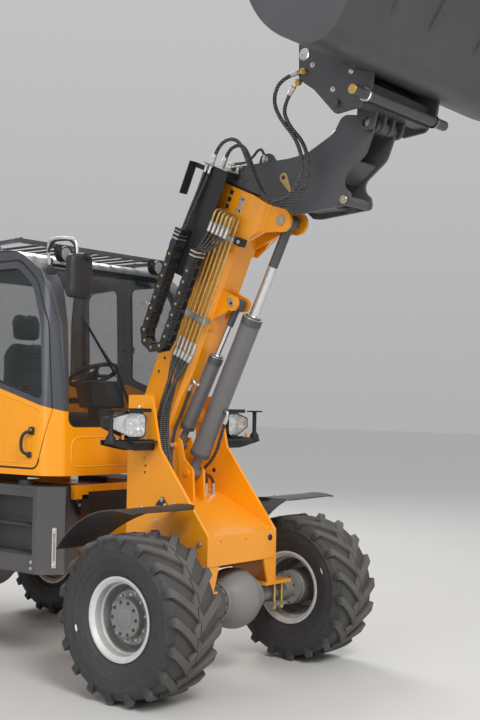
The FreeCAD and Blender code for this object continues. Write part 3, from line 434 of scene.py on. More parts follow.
# ---- finishes ----
def enamel(name, colour, roughness=0.3, coat=0.45, top=1.0, dusty=0.45, above=None):
    """Sprayed machine paint: faint orange peel, uneven film, dust and small chips.

    above is a second colour, for all that lies over the cab's border line."""
    f = Finish(name, colour, roughness, Coat_Weight=coat, Coat_Roughness=0.12)
    film = f.step(f.noise(2.3, 3.0), 0.35, 0.75) * 0.3
    f.tint(film, [c * 0.78 for c in colour])
    if above:
        along = f.along("X")
        line = None
        for (x0, z0), (x1, z1) in zip(BORDER, BORDER[1:]):
            slope = (z1 - z0) / (x1 - x0)
            run = (along - (x0 + SHIFT) / 1000) * slope + z0 / 1000
            line = line.least(run) if line else run
        upper = f.mix(film, above, [c * 0.78 for c in above])
        f.tint(f.height() > line, upper)
    streaks = f.noise(7.0, 4.0, 0.6, f.stretched(6.0, 6.0, 0.6))
    f.tint(f.step(streaks, 0.62, 0.8) * 0.1, (0.2, 0.13, 0.06))
    f.roughness = f.noise(9.0, 4.0) * 0.16 + (roughness - 0.08)
    chips = f.step(f.noise(160.0, 2.0), 0.735, 0.76) * f.step(f.noise(4.0, 2.0), 0.55, 0.65)
    f.tint(chips, (0.06, 0.05, 0.045))
    f.dust(top, dusty)
    f.relief(f.noise(420.0, 2.0), 0.0004, 0.25)
    f.relief(f.noise(3.5, 2.0), 0.004, 0.12)
    return f.done()


def worn_dark(name, colour, dusty=0.5, scuffs=0.5):
    """Dark satin paint with scuffs that show lighter grey, and dust."""
    f = Finish(name, colour, 0.42, Coat_Weight=0.12, Coat_Roughness=0.3)
    f.tint(f.step(f.noise(3.0, 5.0, 0.6), 0.35, 0.8) * 0.45, [c * 1.7 for c in colour])
    lines = f.noise(26.0, 4.0, 0.7, f.stretched(0.5, 5.0, 1.2))
    cross = f.noise(30.0, 4.0, 0.7, f.stretched(4.0, 0.6, 0.9))
    marks = (f.step(lines, 0.66, 0.74) + f.step(cross, 0.68, 0.76)).least(1.0)
    marks = marks * f.step(f.noise(2.2, 3.0), 0.48, 0.66) * scuffs
    f.tint(marks, (0.24, 0.24, 0.25))
    f.roughness = f.noise(14.0, 5.0, 0.6) * 0.24 + 0.32 + marks * 0.15
    f.dust(1.2, dusty, (0.2, 0.18, 0.15))
    f.relief(f.noise(360.0, 2.0), 0.0005, 0.3)
    return f.done()


def cast_grey(name, colour, dusty=0.6):
    """Painted casting: a coarse sand-cast skin and settled dust."""
    f = Finish(name, colour, 0.5)
    f.tint(f.step(f.noise(6.0, 5.0, 0.65), 0.4, 0.75) * 0.4, [c * 0.6 for c in colour])
    f.roughness = f.noise(22.0, 4.0) * 0.25 + 0.33
    f.dust(1.0, dusty)
    f.relief(f.noise(140.0, 4.0, 0.6), 0.0012, 0.5)
    return f.done()


def bright_steel(name, colour=(0.72, 0.72, 0.73), roughness=0.14, ram=None, share=0.0, paint=()):
    """Ground or plated steel: fine grinding marks and a few dull spots.

    A rod is darkened over a share of its length from the eye, in metres, to the colour paint: a painted reflection of
    the dark boom head round its eye."""
    f = Finish(name, colour, roughness, 1.0)
    marks = f.noise(240.0, 3.0, 0.6)
    spots = f.step(f.noise(24.0, 4.0, 0.7), 0.58, 0.75)
    f.tint(spots * 0.4, [c * 0.55 for c in colour])
    f.roughness = marks * 0.12 + roughness - 0.05 + spots * 0.2
    # painted reflection: the rod's end, eye included, is turned matte dark grey, as the chrome there mirrors the dark
    # parts round it
    if ram:
        across = f.along("X")
        line = ram.start.dot(ram.way) + ram.length / 1000 - share
        painted = f.step(across * ram.way.x + f.height() * ram.way.z, line, line + 0.002)
        f.tint(painted, paint)
        f.roughness = f.roughness + painted * 0.25
        f.set("Metallic", painted * -1.0 + 1.0)
    f.relief(marks, 0.0002, 0.2)
    return f.done()


def zinc(name, colour, roughness=0.32):
    """Yellow-passivated or clear zinc plating, cloudy in patches."""
    f = Finish(name, colour, roughness, 0.85)
    clouds = f.noise(34.0, 5.0, 0.65)
    f.tint(f.step(clouds, 0.35, 0.7) * 0.5, [colour[0] * 0.75, colour[1] * 0.62, colour[2] * 0.5])
    f.roughness = clouds * 0.3 + roughness - 0.1
    f.relief(f.noise(300.0, 2.0), 0.0003, 0.25)
    return f.done()


def moulded(name, colour, roughness=0.5, dusty=0.4, grain=220.0):
    """Moulded plastic with a fine leather-like grain."""
    f = Finish(name, colour, roughness)
    f.tint(f.step(f.noise(5.0, 4.0), 0.4, 0.75) * 0.4, [c * 1.6 + 0.01 for c in colour])
    f.roughness = f.noise(12.0, 4.0) * 0.2 + roughness - 0.1
    f.dust(0.9, dusty)
    f.relief(f.cells(grain), 0.0006, 0.35)
    return f.done()


def from_axle(f):
    """Distance from the nearer axle's line: the machine is folded about its middle."""
    x, z = f.along("X"), f.along("Z")
    x = (x - (SHIFT - WHEELBASE / 2) / 1000).size() - WHEELBASE / 2000
    z = z - AXLE_Z / 1000
    return (x * x + z * z) ** 0.5


def tyre_rubber(name, colour):
    """Rubber: dark satin side walls, and dust worn into the lugs and between them."""
    f = Finish(name, colour, 0.6)
    wide = f.noise(7.0, 5.0, 0.65)
    radius = from_axle(f)
    tread = f.step(radius, 0.446, 0.47)
    f.tint(f.step(wide, 0.3, 0.75) * 0.5, (0.062, 0.062, 0.064))
    fine = f.noise(60.0, 5.0, 0.7)
    f.tint(f.step(fine, 0.45, 0.8) * 0.3, (0.1, 0.095, 0.088))
    f.tint(tread * (wide * 0.5 + 0.35), (0.145, 0.138, 0.13))
    f.tint(f.step(radius, 0.452, 0.447) * f.step(radius, 0.442, 0.447) * 0.5, (0.1, 0.09, 0.075))
    f.tint(f.step(f.noise(240.0, 2.0), 0.7, 0.76) * 0.35, (0.26, 0.24, 0.21))
    f.roughness = wide * 0.2 + 0.5 + tread * 0.15
    f.relief(f.noise(330.0, 4.0, 0.7), 0.0008, 0.5)
    f.relief(fine, 0.002, 0.25)
    return f.done()


def wheel_paint(name, colour):
    """Rim paint: bright on the rolled edge, darker in two steps towards the hub with painted shade, and dusty."""
    f = Finish(name, colour, 0.4, 0.25, Coat_Weight=0.15, Coat_Roughness=0.2)
    radius = from_axle(f)
    # painted shade: the bead seat and the disc inside the rim's lip are darkened, as if in the rim's own shadow
    f.tint(f.step(radius, 0.207, 0.201) * 0.45, [c * 0.3 for c in colour])
    f.tint(f.step(radius, 0.192, 0.186) * 0.62, [c * 0.12 for c in colour])
    f.tint(f.step(f.noise(30.0, 5.0, 0.7), 0.5, 0.75) * 0.3, [c * 0.4 for c in colour])
    f.roughness = f.noise(14.0, 4.0) * 0.25 + 0.3
    f.dust(0.5, 0.45)
    f.relief(f.noise(300.0, 2.0), 0.0004, 0.3)
    return f.done()


def sleeve(name, colour):
    """Hose in a woven abrasion sleeve: crossed strands with light flecks in rows."""
    f = Finish(name, colour, 0.5)
    x, y, z = (f.along(axis) for axis in "XYZ")
    one = (z * 250.0 + (x + y) * 330.0).wave()
    other = (z * 250.0 - (x + y) * 330.0).wave()
    strands = one * other
    flecks = f.step(strands, 0.45, 0.75) * f.step(f.noise(60.0, 3.0, 0.7), 0.32, 0.5)
    f.tint(flecks * 0.9, (0.34, 0.35, 0.37))
    f.tint(f.step(strands, -0.2, -0.8) * 0.35, (0.05, 0.05, 0.055))
    f.roughness = flecks * 0.2 + 0.42
    f.relief(strands, 0.0012, 0.7)
    return f.done()


def pane(name, tint, clear):
    """Window glass: darkened by its tint, with a film of dust that thickens low down."""
    f = Finish(name, tint, 0.03, IOR=1.75)
    film = f.noise(3.0, 4.0, 0.6)
    haze = f.step(film, 0.45, 0.9) * 0.12 + f.step(f.height(), 1.75, 1.5) * 0.05
    f.tint(haze, (0.5, 0.5, 0.47))
    f.roughness = haze * 0.4 + 0.015
    f.set("Alpha", haze * 0.4 + clear)
    return f.done()


def lens(name, colour, clear, ribs):
    """Lamp glass with upright ribs; ribs is their number per metre."""
    f = Finish(name, colour, 0.06, IOR=1.6, Alpha=clear)
    f.tint(f.step(f.noise(30.0, 4.0, 0.7), 0.5, 0.8) * 0.2, (0.5, 0.48, 0.44))
    f.roughness = f.noise(40.0, 3.0) * 0.08 + 0.02
    f.relief((f.along("Y") * (ribs * math.tau)).wave(), 0.001, 0.6)
    return f.done()


def cloth(name, colour):
    """Woven seat cloth: crossed threads and a little fluff."""
    f = Finish(name, colour, 0.9, Sheen_Weight=0.35, Sheen_Roughness=0.5)
    x, y, z = (f.along(axis) for axis in "XYZ")
    warp = (y * 2600.0).wave()
    weft = ((x + z) * 2600.0).wave()
    threads = warp * weft
    f.tint(f.step(threads, -0.2, 0.9) * 0.55, [c * 2.0 for c in colour])
    f.tint(f.step(f.noise(18.0, 4.0), 0.5, 0.8) * 0.3, [c * 0.6 for c in colour])
    f.roughness = f.noise(60.0, 3.0) * 0.15 + 0.78
    f.relief(threads, 0.0005, 0.5)
    return f.done()


def floor_paint(name):
    """The studio floor's pale, faintly clouded paint."""
    f = Finish(name, (0.6, 0.6, 0.59), 0.6)
    f.tint(f.step(f.noise(0.8, 4.0), 0.35, 0.75) * 0.25, (0.55, 0.55, 0.54))
    f.roughness = f.noise(6.0, 4.0) * 0.15 + 0.5
    f.relief(f.noise(90.0, 3.0), 0.0006, 0.2)
    return f.done()


def make_finishes():
    """Every finish by the word that pieces use for it."""
    c = bpy.context.scene.loader_colours
    body, dark = tuple(c.body), tuple(c.dark)
    return {
        "paint": enamel("orange_yellow_paint", body),
        "dark": worn_dark("dark_grey_paint", dark),
        "ram": worn_dark("cylinder_grey_paint", light_of((98, 97, 98)), 0.35, 0.4),
        "steel": bright_steel("machined_steel"),
        # each rod's end takes a dark grey over a share of its length: a painted reflection of the dark boom head
        **{f"{name}_rod": bright_steel(f"{name}_rod_steel", ram=boom_rams()[name], share=share,
                                       paint=light_of((76, 75, 76)))
           for name, share in (("lift", 0.292), ("level", 0.15), ("tilt", 0.062))},
        "pin": bright_steel("turned_pin_steel", (0.56, 0.5, 0.4), 0.3),
        "axle": cast_grey("axle_grey_paint", tuple(c.axle)),
        "engine": cast_grey("engine_grey_paint", light_of((84, 88, 92)), 0.4),
        "cab": enamel("cab_grey_paint", tuple(c.cab), 0.34, 0.3, 0.8, 0.3),
        "door": enamel("cab_two_tone_paint", body, above=tuple(c.cab)),
        "rim": wheel_paint("rim_grey_paint", tuple(c.rim)),
        "black": worn_dark("black_steel", light_of((30, 30, 32)), 0.35, 0.3),
        "zinc": zinc("zinc_plated_steel", (0.62, 0.47, 0.2)),
        "silver": zinc("clear_zinc_steel", (0.66, 0.66, 0.64), 0.28),
        "brass": zinc("brass", (0.72, 0.5, 0.16), 0.3),
        "plastic": moulded("black_plastic", light_of((36, 36, 38))),
        "seal": moulded("rubber_seal", light_of((22, 22, 23)), 0.62, 0.3),
        "mat": moulded("rubber_mat", light_of((38, 38, 38)), 0.75, 0.5, 90.0),
        "hose": sleeve("hose_rubber", (0.012, 0.012, 0.013)),
        "tyre": tyre_rubber("tyre", tuple(c.tyre)),
        "chalk": moulded("tyre_mark", light_of((215, 214, 205)), 0.8, 0.3),
        "cloth": cloth("seat_fabric", tuple(c.seat)),
        "glass": pane("window_glass", (0.02, 0.03, 0.032), 0.22),
        "lens": lens("lamp_glass", (0.93, 0.94, 0.95), 0.28, 60.0),
        "amber": lens("amber_lens", (0.9, 0.28, 0.02), 0.85, 90.0),
        "red": lens("red_lens", (0.55, 0.015, 0.01), 0.9, 90.0),
        "mirror": bright_steel("lamp_reflector", (0.86, 0.87, 0.88), 0.08),
        # near-black for holes, slots and pipe mouths: painted shade of what lies inside them
        "inside": moulded("dark_opening", (0.008, 0.008, 0.009), 0.8, 0.0),
        "grip": moulded("grey_trim", light_of((58, 60, 64)), 0.6, 0.2),
    }


CAD_FINISH = {
    **{rod: rod for rod in ("lift_rod", "level_rod", "tilt_rod")},
    "paint": "front_frame rear_frame cab_tub hood boom_tube",
    "dark": "counterweight tow_hitch tow_jaw side_tanks roof_guard inner_tube gooseneck"
            " carrier bucket",
    "ram": "lift_barrel level_barrel tilt_barrel steering_barrel",
    "steel": "steering_rod",
    "axle": "front_axle rear_axle",
    "engine": "engine_block",
    "door": "right_door left_door cab_pillars",
    "cab": "cab_roof",
    "rim": " ".join(f"{name}_rim" for name in WHEEL_NAMES),
    "black": "exhaust_stack hose_guard",
    "zinc": "boom_pipes",
    "plastic": "front_fenders rear_fenders junction_box seat_base steering_column"
               " steering_wheel mirrors energy_chain",
    "mat": "cab_floor",
    "hose": "boom_hoses tool_hoses",
    "tyre": " ".join(f"{name}_tyre" for name in WHEEL_NAMES),
    "cloth": "seat_cushion seat_back",
    "glass": "fixed_glass right_door_glass left_door_glass",
    "lens": "headlights work_lights",
    "red": "tail_lights",
}
# thin or round enough to keep their own faces
FINE = "fixed_glass right_door_glass left_door_glass boom_hoses tool_hoses cab_floor".split()


# ---- mesh kit ----
SHARP_EDGE = math.radians(38)              # steeper edges stay sharp
SAME_PLACE = 1e-6                          # corners this near are one, in metres


class Piece:
    """A mesh under construction. Each method adds one closed form in the current finish."""

    def __init__(self, finish="paint"):
        self.bm = bmesh.new()
        self.finishes = []
        self.use(finish)

    def use(self, finish):
        if finish not in self.finishes:
            self.finishes.append(finish)
        self.slot = self.finishes.index(finish)
        return self

    def face(self, corners):
        try:
            made = self.bm.faces.new(corners)
        except ValueError:
            return None
        made.material_index = self.slot
        made.smooth = True
        return made

    def skin(self, loops, around=True, ends=True, closed=False):
        """Joins loops of places in order; around closes each loop, closed joins last to first."""
        rows = [[self.bm.verts.new(p) for p in loop] for loop in loops]
        pairs = list(zip(rows, rows[1:])) + ([(rows[-1], rows[0])] if closed else [])
        for low, high in pairs:
            count = len(low)
            for i in range(count if around else count - 1):
                j = (i + 1) % count
                self.face((low[i], low[j], high[j], high[i]))
        if ends and around and not closed:
            self.face(rows[0][::-1])
            self.face(rows[-1])
        return self

    def turned(self, matrix, profile, turns, sweep=360.0, start=0.0, closed=False):
        """Profile is (up, radius) in millimetres, turned about the matrix's Z."""
        full = sweep >= 360.0
        count = turns if full else turns + 1
        loops = []
        for up, radius in profile:
            loops.append([matrix @ polar(radius, math.radians(start + sweep * i / turns), up)
                          for i in range(count)])
        return self.skin(loops, around=full, ends=not closed, closed=closed)

    def prism(self, matrix, outline, low, high, chamfer=0.0):
        """An outline in the matrix's XY, in millimetres, raised from low to high."""
        outline = [Vector((p[0], p[1], 0)) for p in outline]
        levels = [(low, chamfer), (low + chamfer, 0), (high - chamfer, 0), (high, chamfer)]
        if not chamfer:
            levels = [(low, 0), (high, 0)]
        loops = []
        for up, inset in levels:
            ring = drawn_in(outline, inset) if inset else outline
            loops.append([matrix @ (Vector((p.x, p.y, up)) / 1000) for p in ring])
        return self.skin(loops)

    def block(self, low, high, chamfer=2.0, matrix=None, side=1):
        """A box with chamfered edges, between two corners in millimetres.

        Side -1 puts it across the middle, on the right."""
        (x0, y0, z0), (x1, y1, z1) = low, high
        y0, y1 = sorted((side * y0, side * y1))
        c = min(chamfer, abs(x1 - x0) / 3, abs(y1 - y0) / 3, abs(z1 - z0) / 3)
        ring = [(x0 + c, y0), (x1 - c, y0), (x1, y0 + c), (x1, y1 - c), (x1 - c, y1),
                (x0 + c, y1), (x0, y1 - c), (x0, y0 + c)]
        if matrix is None:
            matrix = Matrix.Translation((SHIFT / 1000, 0, 0))
        return self.prism(matrix, ring, z0, z1, c)

    def bar(self, start, end, radius, turns=16, chamfer=1.0):
        """A round bar with chamfered ends, between two places in the row frame."""
        length = (end - start).length * 1000
        c = min(chamfer, radius / 2, length / 4)
        return self.spun(start, end - start,
            [(0, radius - c), (c, radius), (length - c, radius), (length, radius - c)], turns)

    def bolt(self, place, out, across, high, washer=True, stud=0.0):
        """Hexagon head on a washer, with a domed top; stud adds a threaded end."""
        matrix = pose(place, out)
        low = -1.0
        if washer:
            self.turned(matrix,
                [(low, across * 0.78), (2.0, across * 0.78), (2.6, across * 0.72)], 16)
            low = 2.0
        r = across / math.sqrt(3)
        rings = [(low, r), (low + high * 0.8, r), (low + high, r * 0.8)]
        self.turned(matrix, rings, 6)
        if stud:
            self.turned(matrix, [(low, across * 0.3), (low + high + stud - 1.5, across * 0.3),
                (low + high + stud, across * 0.24)], 12)
        return self

    def tube(self, places, radius, turns=10, ends=True):
        """A round tube through places in the row frame; radius is one number or a list."""
        radii = radius if isinstance(radius, (list, tuple)) else [radius] * len(places)
        ahead = [(places[min(i + 1, len(places) - 1)] - places[max(i - 1, 0)]).normalized()
                 for i in range(len(places))]
        side = ahead[0].orthogonal().normalized()
        loops = []
        for place, way, r in zip(places, ahead, radii):
            side = (side - way * side.dot(way)).normalized()
            up = way.cross(side)
            loops.append([place + (side * math.cos(a) + up * math.sin(a)) * (r / 1000)
                          for a in (math.tau * i / turns for i in range(turns))])
        return self.skin(loops, ends=ends)

    def run(self, route, radius, turns, resolution=14):
        """A tube along the smooth line of a route."""
        return self.tube(curve_through(route, resolution), radius, turns)

    def spun(self, place, way, profile, turns, closed=False):
        """A turned form that stands at a place and looks a way."""
        return self.turned(pose(place, way), profile, turns, closed=closed)

    def bolts(self, finish, rows):
        """Each row is (x, y, z, way, across flats, height)."""
        for x, y, z, way, across, high in rows:
            self.use(finish).bolt(at(x, y, z), way, across, high)

    def made(self, name, body, replaces=(), slot=None):
        """Ends the piece: one object that rides on a body and carries its finishes."""
        bmesh.ops.remove_doubles(self.bm, verts=self.bm.verts, dist=SAME_PLACE)
        bmesh.ops.recalc_face_normals(self.bm, faces=self.bm.faces)
        mesh = bpy.data.meshes.new(name)
        self.bm.to_mesh(mesh)
        self.bm.free()
        mesh.set_sharp_from_angle(angle=SHARP_EDGE)
        piece = bpy.data.objects.new(name, mesh)
        bpy.context.scene.collection.objects.link(piece)
        finishes = finish_set()
        for finish in self.finishes:
            mesh.materials.append(finishes[finish])
        if body:
            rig.ride(piece, body)
        if replaces:
            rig.replaces(piece, *replaces)
        if slot:
            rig.slot(piece, slot)
        return piece


def drawn_in(outline, amount):
    """An outline drawn in by an amount, corner by corner."""
    count = len(outline)
    area = sum(outline[i - 1].x * outline[i].y - outline[i].x * outline[i - 1].y
               for i in range(count))
    turn = 1.0 if area > 0 else -1.0
    result = []
    for i, here in enumerate(outline):
        a = (here - outline[i - 1]).normalized()
        b = (outline[(i + 1) % count] - here).normalized()
        inward = Vector((-a.y - b.y, a.x + b.x, 0)) * turn
        if inward.length < SAME_PLACE:
            result.append(here)
            continue
        inward.normalize()
        lean = max(0.35, inward.dot(Vector((-a.y, a.x, 0)) * turn))
        result.append(here + inward * (amount / lean))
    return result


def rounded(points, steps=5):
    """An outline with its corners rounded: points are (x, y, radius)."""
    flat = [Vector((p[0], p[1], 0)) for p in points]
    result = []
    for i, p in enumerate(points):
        here, before, after = flat[i], flat[i - 1], flat[(i + 1) % len(flat)]
        radius = p[2] if len(p) > 2 else 0
        if not radius:
            result.append((here.x, here.y))
            continue
        back, on = (before - here).normalized(), (after - here).normalized()
        half = back.angle(on) / 2
        centre = here + (back + on).normalized() * (radius / math.sin(half))
        first = here + back * (radius / math.tan(half)) - centre
        last = here + on * (radius / math.tan(half)) - centre
        for k in range(steps + 1):
            way = first.lerp(last, k / steps).normalized() * radius
            result.append((centre.x + way.x, centre.y + way.y))
    return result


def box_outline(x0, y0, x1, y1, radius):
    return rounded([(x0, y0, radius), (x1, y0, radius), (x1, y1, radius), (x0, y1, radius)])


def side_view(y, out):
    """A matrix for outlines of (X, Z) at a place across the machine; Z of it looks out."""
    turn = Matrix(((1, 0, 0, 0), (0, 0, out, 0), (0, 1, 0, 0), (0, 0, 0, 1)))
    return Matrix.Translation(at(0, y, 0)) @ turn


def front_view(x):
    """A matrix for outlines of (Y, Z) at a place along the machine."""
    turn = Matrix(((0, 0, 1, 0), (1, 0, 0, 0), (0, 1, 0, 0), (0, 0, 0, 1)))
    return Matrix.Translation(at(x, 0, 0)) @ turn


def top_view(z):
    """A matrix for outlines of (X, Y) at a height."""
    return Matrix.Translation(at(0, 0, z))


def boom_view(across, out):
    """A matrix for outlines of (along, above) the boom at a place across it."""
    turn = Matrix(((ALONG.x, ABOVE.x, 0, 0), (0, 0, out, 0), (ALONG.z, ABOVE.z, 0, 0),
                   (0, 0, 0, 1)))
    return Matrix.Translation(on_boom(0, across, 0)) @ turn


def finish_set(_made={}):
    """The finishes, made the first time that they are asked for."""
    if not _made:
        _made.update(make_finishes())
    return _made


def curve_through(points, resolution=14):
    """Places along the smooth line of a route."""
    data = bpy.data.curves.new("route", "CURVE")
    data.dimensions = "3D"
    data.resolution_u = resolution
    spline = data.splines.new("NURBS")
    spline.points.add(len(points) - 1)
    for point, place in zip(spline.points, points):
        point.co = (*place, 1.0)
    spline.order_u = 3
    spline.use_endpoint_u = True
    line = bpy.data.objects.new("route", data)
    bpy.context.scene.collection.objects.link(line)
    bpy.context.view_layer.update()
    mesh = bpy.data.meshes.new_from_object(line)
    places = [v.co.copy() for v in mesh.vertices]
    bpy.data.objects.remove(line)
    bpy.data.meshes.remove(mesh)
    return places


# ---- carried-over nodes ----
JOIN_WITHIN = 2e-5                         # metres between corners that belong together
FLAT_WITHIN = math.radians(1)              # faces this flat to each other become one
PLATE_CORNER = math.radians(32)            # steeper edges of plates are rounded


def plate_edges():
    """A node group that joins a node's faces and clears their fixed normals."""
    tree = bpy.data.node_groups.new("joined_faces", "GeometryNodeTree")
    for way in ("INPUT", "OUTPUT"):
        tree.interface.new_socket("Geometry", in_out=way, socket_type="NodeSocketGeometry")
    start, end = tree.nodes.new("NodeGroupInput"), tree.nodes.new("NodeGroupOutput")
    merge = tree.nodes.new("GeometryNodeMergeByDistance")
    merge.inputs["Distance"].default_value = JOIN_WITHIN
    drop = tree.nodes.new("GeometryNodeRemoveAttribute")
    drop.inputs["Name"].default_value = "custom_normal"
    smooth = tree.nodes.new("GeometryNodeSetShadeSmooth")
    chain = [start, merge, drop, smooth, end]
    for one, other in zip(chain, chain[1:]):
        tree.links.new(one.outputs[0], other.inputs[0])
    return tree


class LOADER_OT_finish_cad(bpy.types.Operator):
    """Give every carried-over node its finish, and round the edges of its plates."""
    bl_idname = "loader.finish_cad"
    bl_label = "Frame finishes"

    def execute(self, context):
        finishes = finish_set()
        tree = plate_edges()
        for finish, names in CAD_FINISH.items():
            for name in names.split():
                node = NODES[name]
                node.data.materials.clear()
                node.data.materials.append(finishes[finish])
                if name in FINE:
                    continue
                node.modifiers.new("joined", "NODES").node_group = tree
                planar = node.modifiers.new("flats", "DECIMATE")
                planar.decimate_type, planar.angle_limit = "DISSOLVE", FLAT_WITHIN
                edge = node.modifiers.new("edge", "BEVEL")
                edge.width, edge.segments = context.scene.loader_sizes.edge, 2
                edge.limit_method, edge.angle_limit = "ANGLE", PLATE_CORNER
                node.modifiers.new("normals", "WEIGHTED_NORMAL")
        return {"FINISHED"}


# ---- wheels ----
WHEELS = list(zip(WHEEL_NAMES, (0.0, 0.0, -WHEELBASE, -WHEELBASE), (-1, 1, -1, 1)))
# across the tyre and radius, from the bead out over the side wall to the crown
CARCASS = [(149, 236), (149, 241), (158, 262), (166, 268), (170, 277), (172, 287), (183, 306),
    (191.5, 335), (194.5, 365), (194.5, 384), (196.6, 388), (196.6, 394), (193.5, 398),
    (189.5, 414), (183, 429), (172, 440), (158, 445), (110, 446.5), (50, 448), (0, 448.5)]
# one lug from the side wall to the tread's middle: its top (across, radius), its foot
# (across, radius), and half its width round the tyre at the top and at the foot
LUG = [((193.5, 399), (184, 398), 13, 16), ((196.7, 410), (181, 410), 18, 23),
    ((196.9, 432), (176, 428), 21, 28), ((194.5, 452), (170, 440), 23, 31),
    ((187, 466), (164, 444), 24, 33), ((172, 471.5), (158, 445), 24, 33),
    ((140, 472.3), (138, 446), 24, 33), ((105, 472.4), (105, 446), 24, 33),
    ((70, 472.4), (70, 447), 25, 35), ((40, 472.4), (39, 448), 28, 38),
    ((13, 472.4), (11, 448), 33, 42)]
LUG_TIP = [((5, 472.2), (7, 448), 34, 43), ((-14, 471.8), (-14, 448), 28, 37),
           ((-33, 470.5), (-38, 448), 21, 31)]
LUG_SHOULDER, LUG_REACH = 186.0, 222.0     # where a lug starts across the tyre, and its run
LUG_SWEEP, LUG_CURVE = 22.0, 1.12          # how far it leans round the tyre, and how that grows
LUG_MIDDLE = 460.0                         # the radius that its widths are measured at
FIRST_LUG = 6.0


def wheel_view(x, side):
    """Z looks out of the wheel, X forwards."""
    return pose(at(x, side * TRACK / 2, AXLE_Z), LEFT * side, FORWARD)


def lug(piece, matrix, side, half, turn, stations):
    """Skins one lug; turn is where its shoulder end stands, in degrees above the front."""
    loops = []
    for top, foot, wide, wide_foot in stations:
        share = max(0.0, LUG_SHOULDER - top[0]) / LUG_REACH
        middle = turn - LUG_SWEEP * share ** LUG_CURVE
        rows = [(foot, -wide_foot), (top, -wide - 3), (top, -wide), (top, wide),
                (top, wide + 3), (foot, wide_foot)]
        loop = []
        for number, ((across, radius), off) in enumerate(rows):
            if number in (1, 4):
                across, radius = across - 0.8, radius - 3.5
            a = (math.radians(middle) + off / LUG_MIDDLE) * -side
            loop.append(matrix @ polar(radius, a, across * half))
        loops.append(loop)
    piece.skin(loops)


def tyre(name, x, side, count):
    """One tyre: carcass, lugs and moulding ribs."""
    matrix = wheel_view(x, side)
    piece = Piece("tyre")
    carcass = CARCASS + [(-up, radius) for up, radius in CARCASS[-2::-1]]
    piece.turned(matrix, carcass, 108, closed=True)
    step = 360.0 / count
    for number in range(count):
        for half, start in ((1, FIRST_LUG), (-1, FIRST_LUG + step / 2)):
            for stations in (LUG, LUG_TIP):
                lug(piece, matrix, side, half, start + number * step, stations)
    for k in range(4):
        # short moulding ribs round the side wall
        for up, radius in ((182.2, 303), (191.6, 334)):
            piece.turned(matrix, [(up - 4, radius), (up + 1.4, radius + 1), (up + 1.2, radius + 6),
                (up - 4, radius + 8)], 26, 84, k * 90 + 3)
    piece.made(f"{name}_tyre_tread", f"{name}_wheel", [f"{name}_tyre"], "tyre")


class LOADER_OT_tyres(bpy.types.Operator):
    """Mould the four lugged tyres."""
    bl_idname = "loader.tyres"
    bl_label = "Tyres"

    def execute(self, context):
        count = context.scene.loader_sizes.lug_pairs
        for name, x, side in WHEELS:
            tyre(name, x, side, count)
        return {"FINISHED"}


def wheel_fittings(name, x, side):
    """One wheel: nuts, hub bolts, the hub's cap ring, drain plug and valve."""
    matrix = wheel_view(x, side)
    out = LEFT * side
    piece = Piece("silver")

    def spot(radius, turn, up):
        return matrix @ polar(radius, math.radians(turn), up)

    for k in range(10):
        piece.use("silver").bolt(spot(132, 36 * k + 10, 58), out, 23, 15, True, 7)
        piece.use("black").bolt(spot(92, 36 * k, 112), out, 13, 5, True, 3)
    piece.use("axle").turned(matrix,
        [(108, 58), (114, 58), (116, 54), (116, 26), (120, 24), (120, 0)], 40)
    piece.bolt(spot(40, 75, 116), out, 14, 5, False)
    piece.use("seal").tube(
        [spot(198, 62, 84), spot(200, 62, 104), spot(209, 62, 128), spot(214, 62, 141)], 5)
    piece.use("brass").bar(spot(214, 62, 140), spot(217, 62, 152), 3.8, 12)
    piece.made(f"{name}_wheel_nuts", f"{name}_wheel", (), "zinc_plated_steel")


def chalk_mark(name, side, wall, radius, turn):
    """A chalk stroke round a tyre's side wall."""
    matrix = wheel_view(0.0, side)
    piece = Piece("chalk")
    loops = []
    for off, half in ((-21, 2.0), (-15, 5.0), (0, 7.0), (12, 5.5), (20, 2.0)):
        a = (math.radians(turn) + off / radius) * -side
        loops.append([matrix @ polar(r, a, wall * (184.0 + (r - 306) * 0.293))
                      for r in (radius - half, radius, radius + half)])
    piece.skin(loops, around=False, ends=False)
    piece.made(f"{name}_chalk_mark", f"{name}_wheel", (), "tyre")


class LOADER_OT_wheel_fittings(bpy.types.Operator):
    """Fit wheel nuts, hub studs, plugs and valves, and the chalk marks on two tyres."""
    bl_idname = "loader.wheel_fittings"
    bl_label = "Wheel nuts and valves"

    def execute(self, context):
        for name, x, side in WHEELS:
            wheel_fittings(name, x, side)
        for name, side, wall, radius, turn in (("front_right", -1, 1, 319, 195.0),
                                               ("front_left", 1, -1, 332, 25.4)):
            chalk_mark(name, side, wall, radius, turn)
        return {"FINISHED"}


# ---- hoses ----
PIPE_Y = -165.0
PIPE_ROWS = (30, -5, -40, -75, -110)
BUNDLE = ((-16, 4), (-16, 34), (14, -12), (14, 17), (14, 46))
BOOM_HOSE_R, TOOL_HOSE_R = 13.0, 11.5
TOOL_HOSES = (
    ((13, -225, 3152), (57, -230, 3250), (159, -240, 3292), (261, -250, 3250),
     (352, -262, 3060), (468, -280, 2868), (658, -290, 2855), (770, -300, 3000),
     (735, -315, 3180), (612, -335, 3325), (575, -350, 3440), (645, -362, 3545),
     (768, -372, 3548)),
    ((48, -165, 3138), (87, -172, 3225), (175, -186, 3260), (263, -200, 3225),
     (352, -222, 3040), (480, -240, 2842), (675, -254, 2832), (792, -268, 2985),
     (765, -290, 3165), (668, -318, 3275), (636, -340, 3388), (740, -372, 3470)),
)


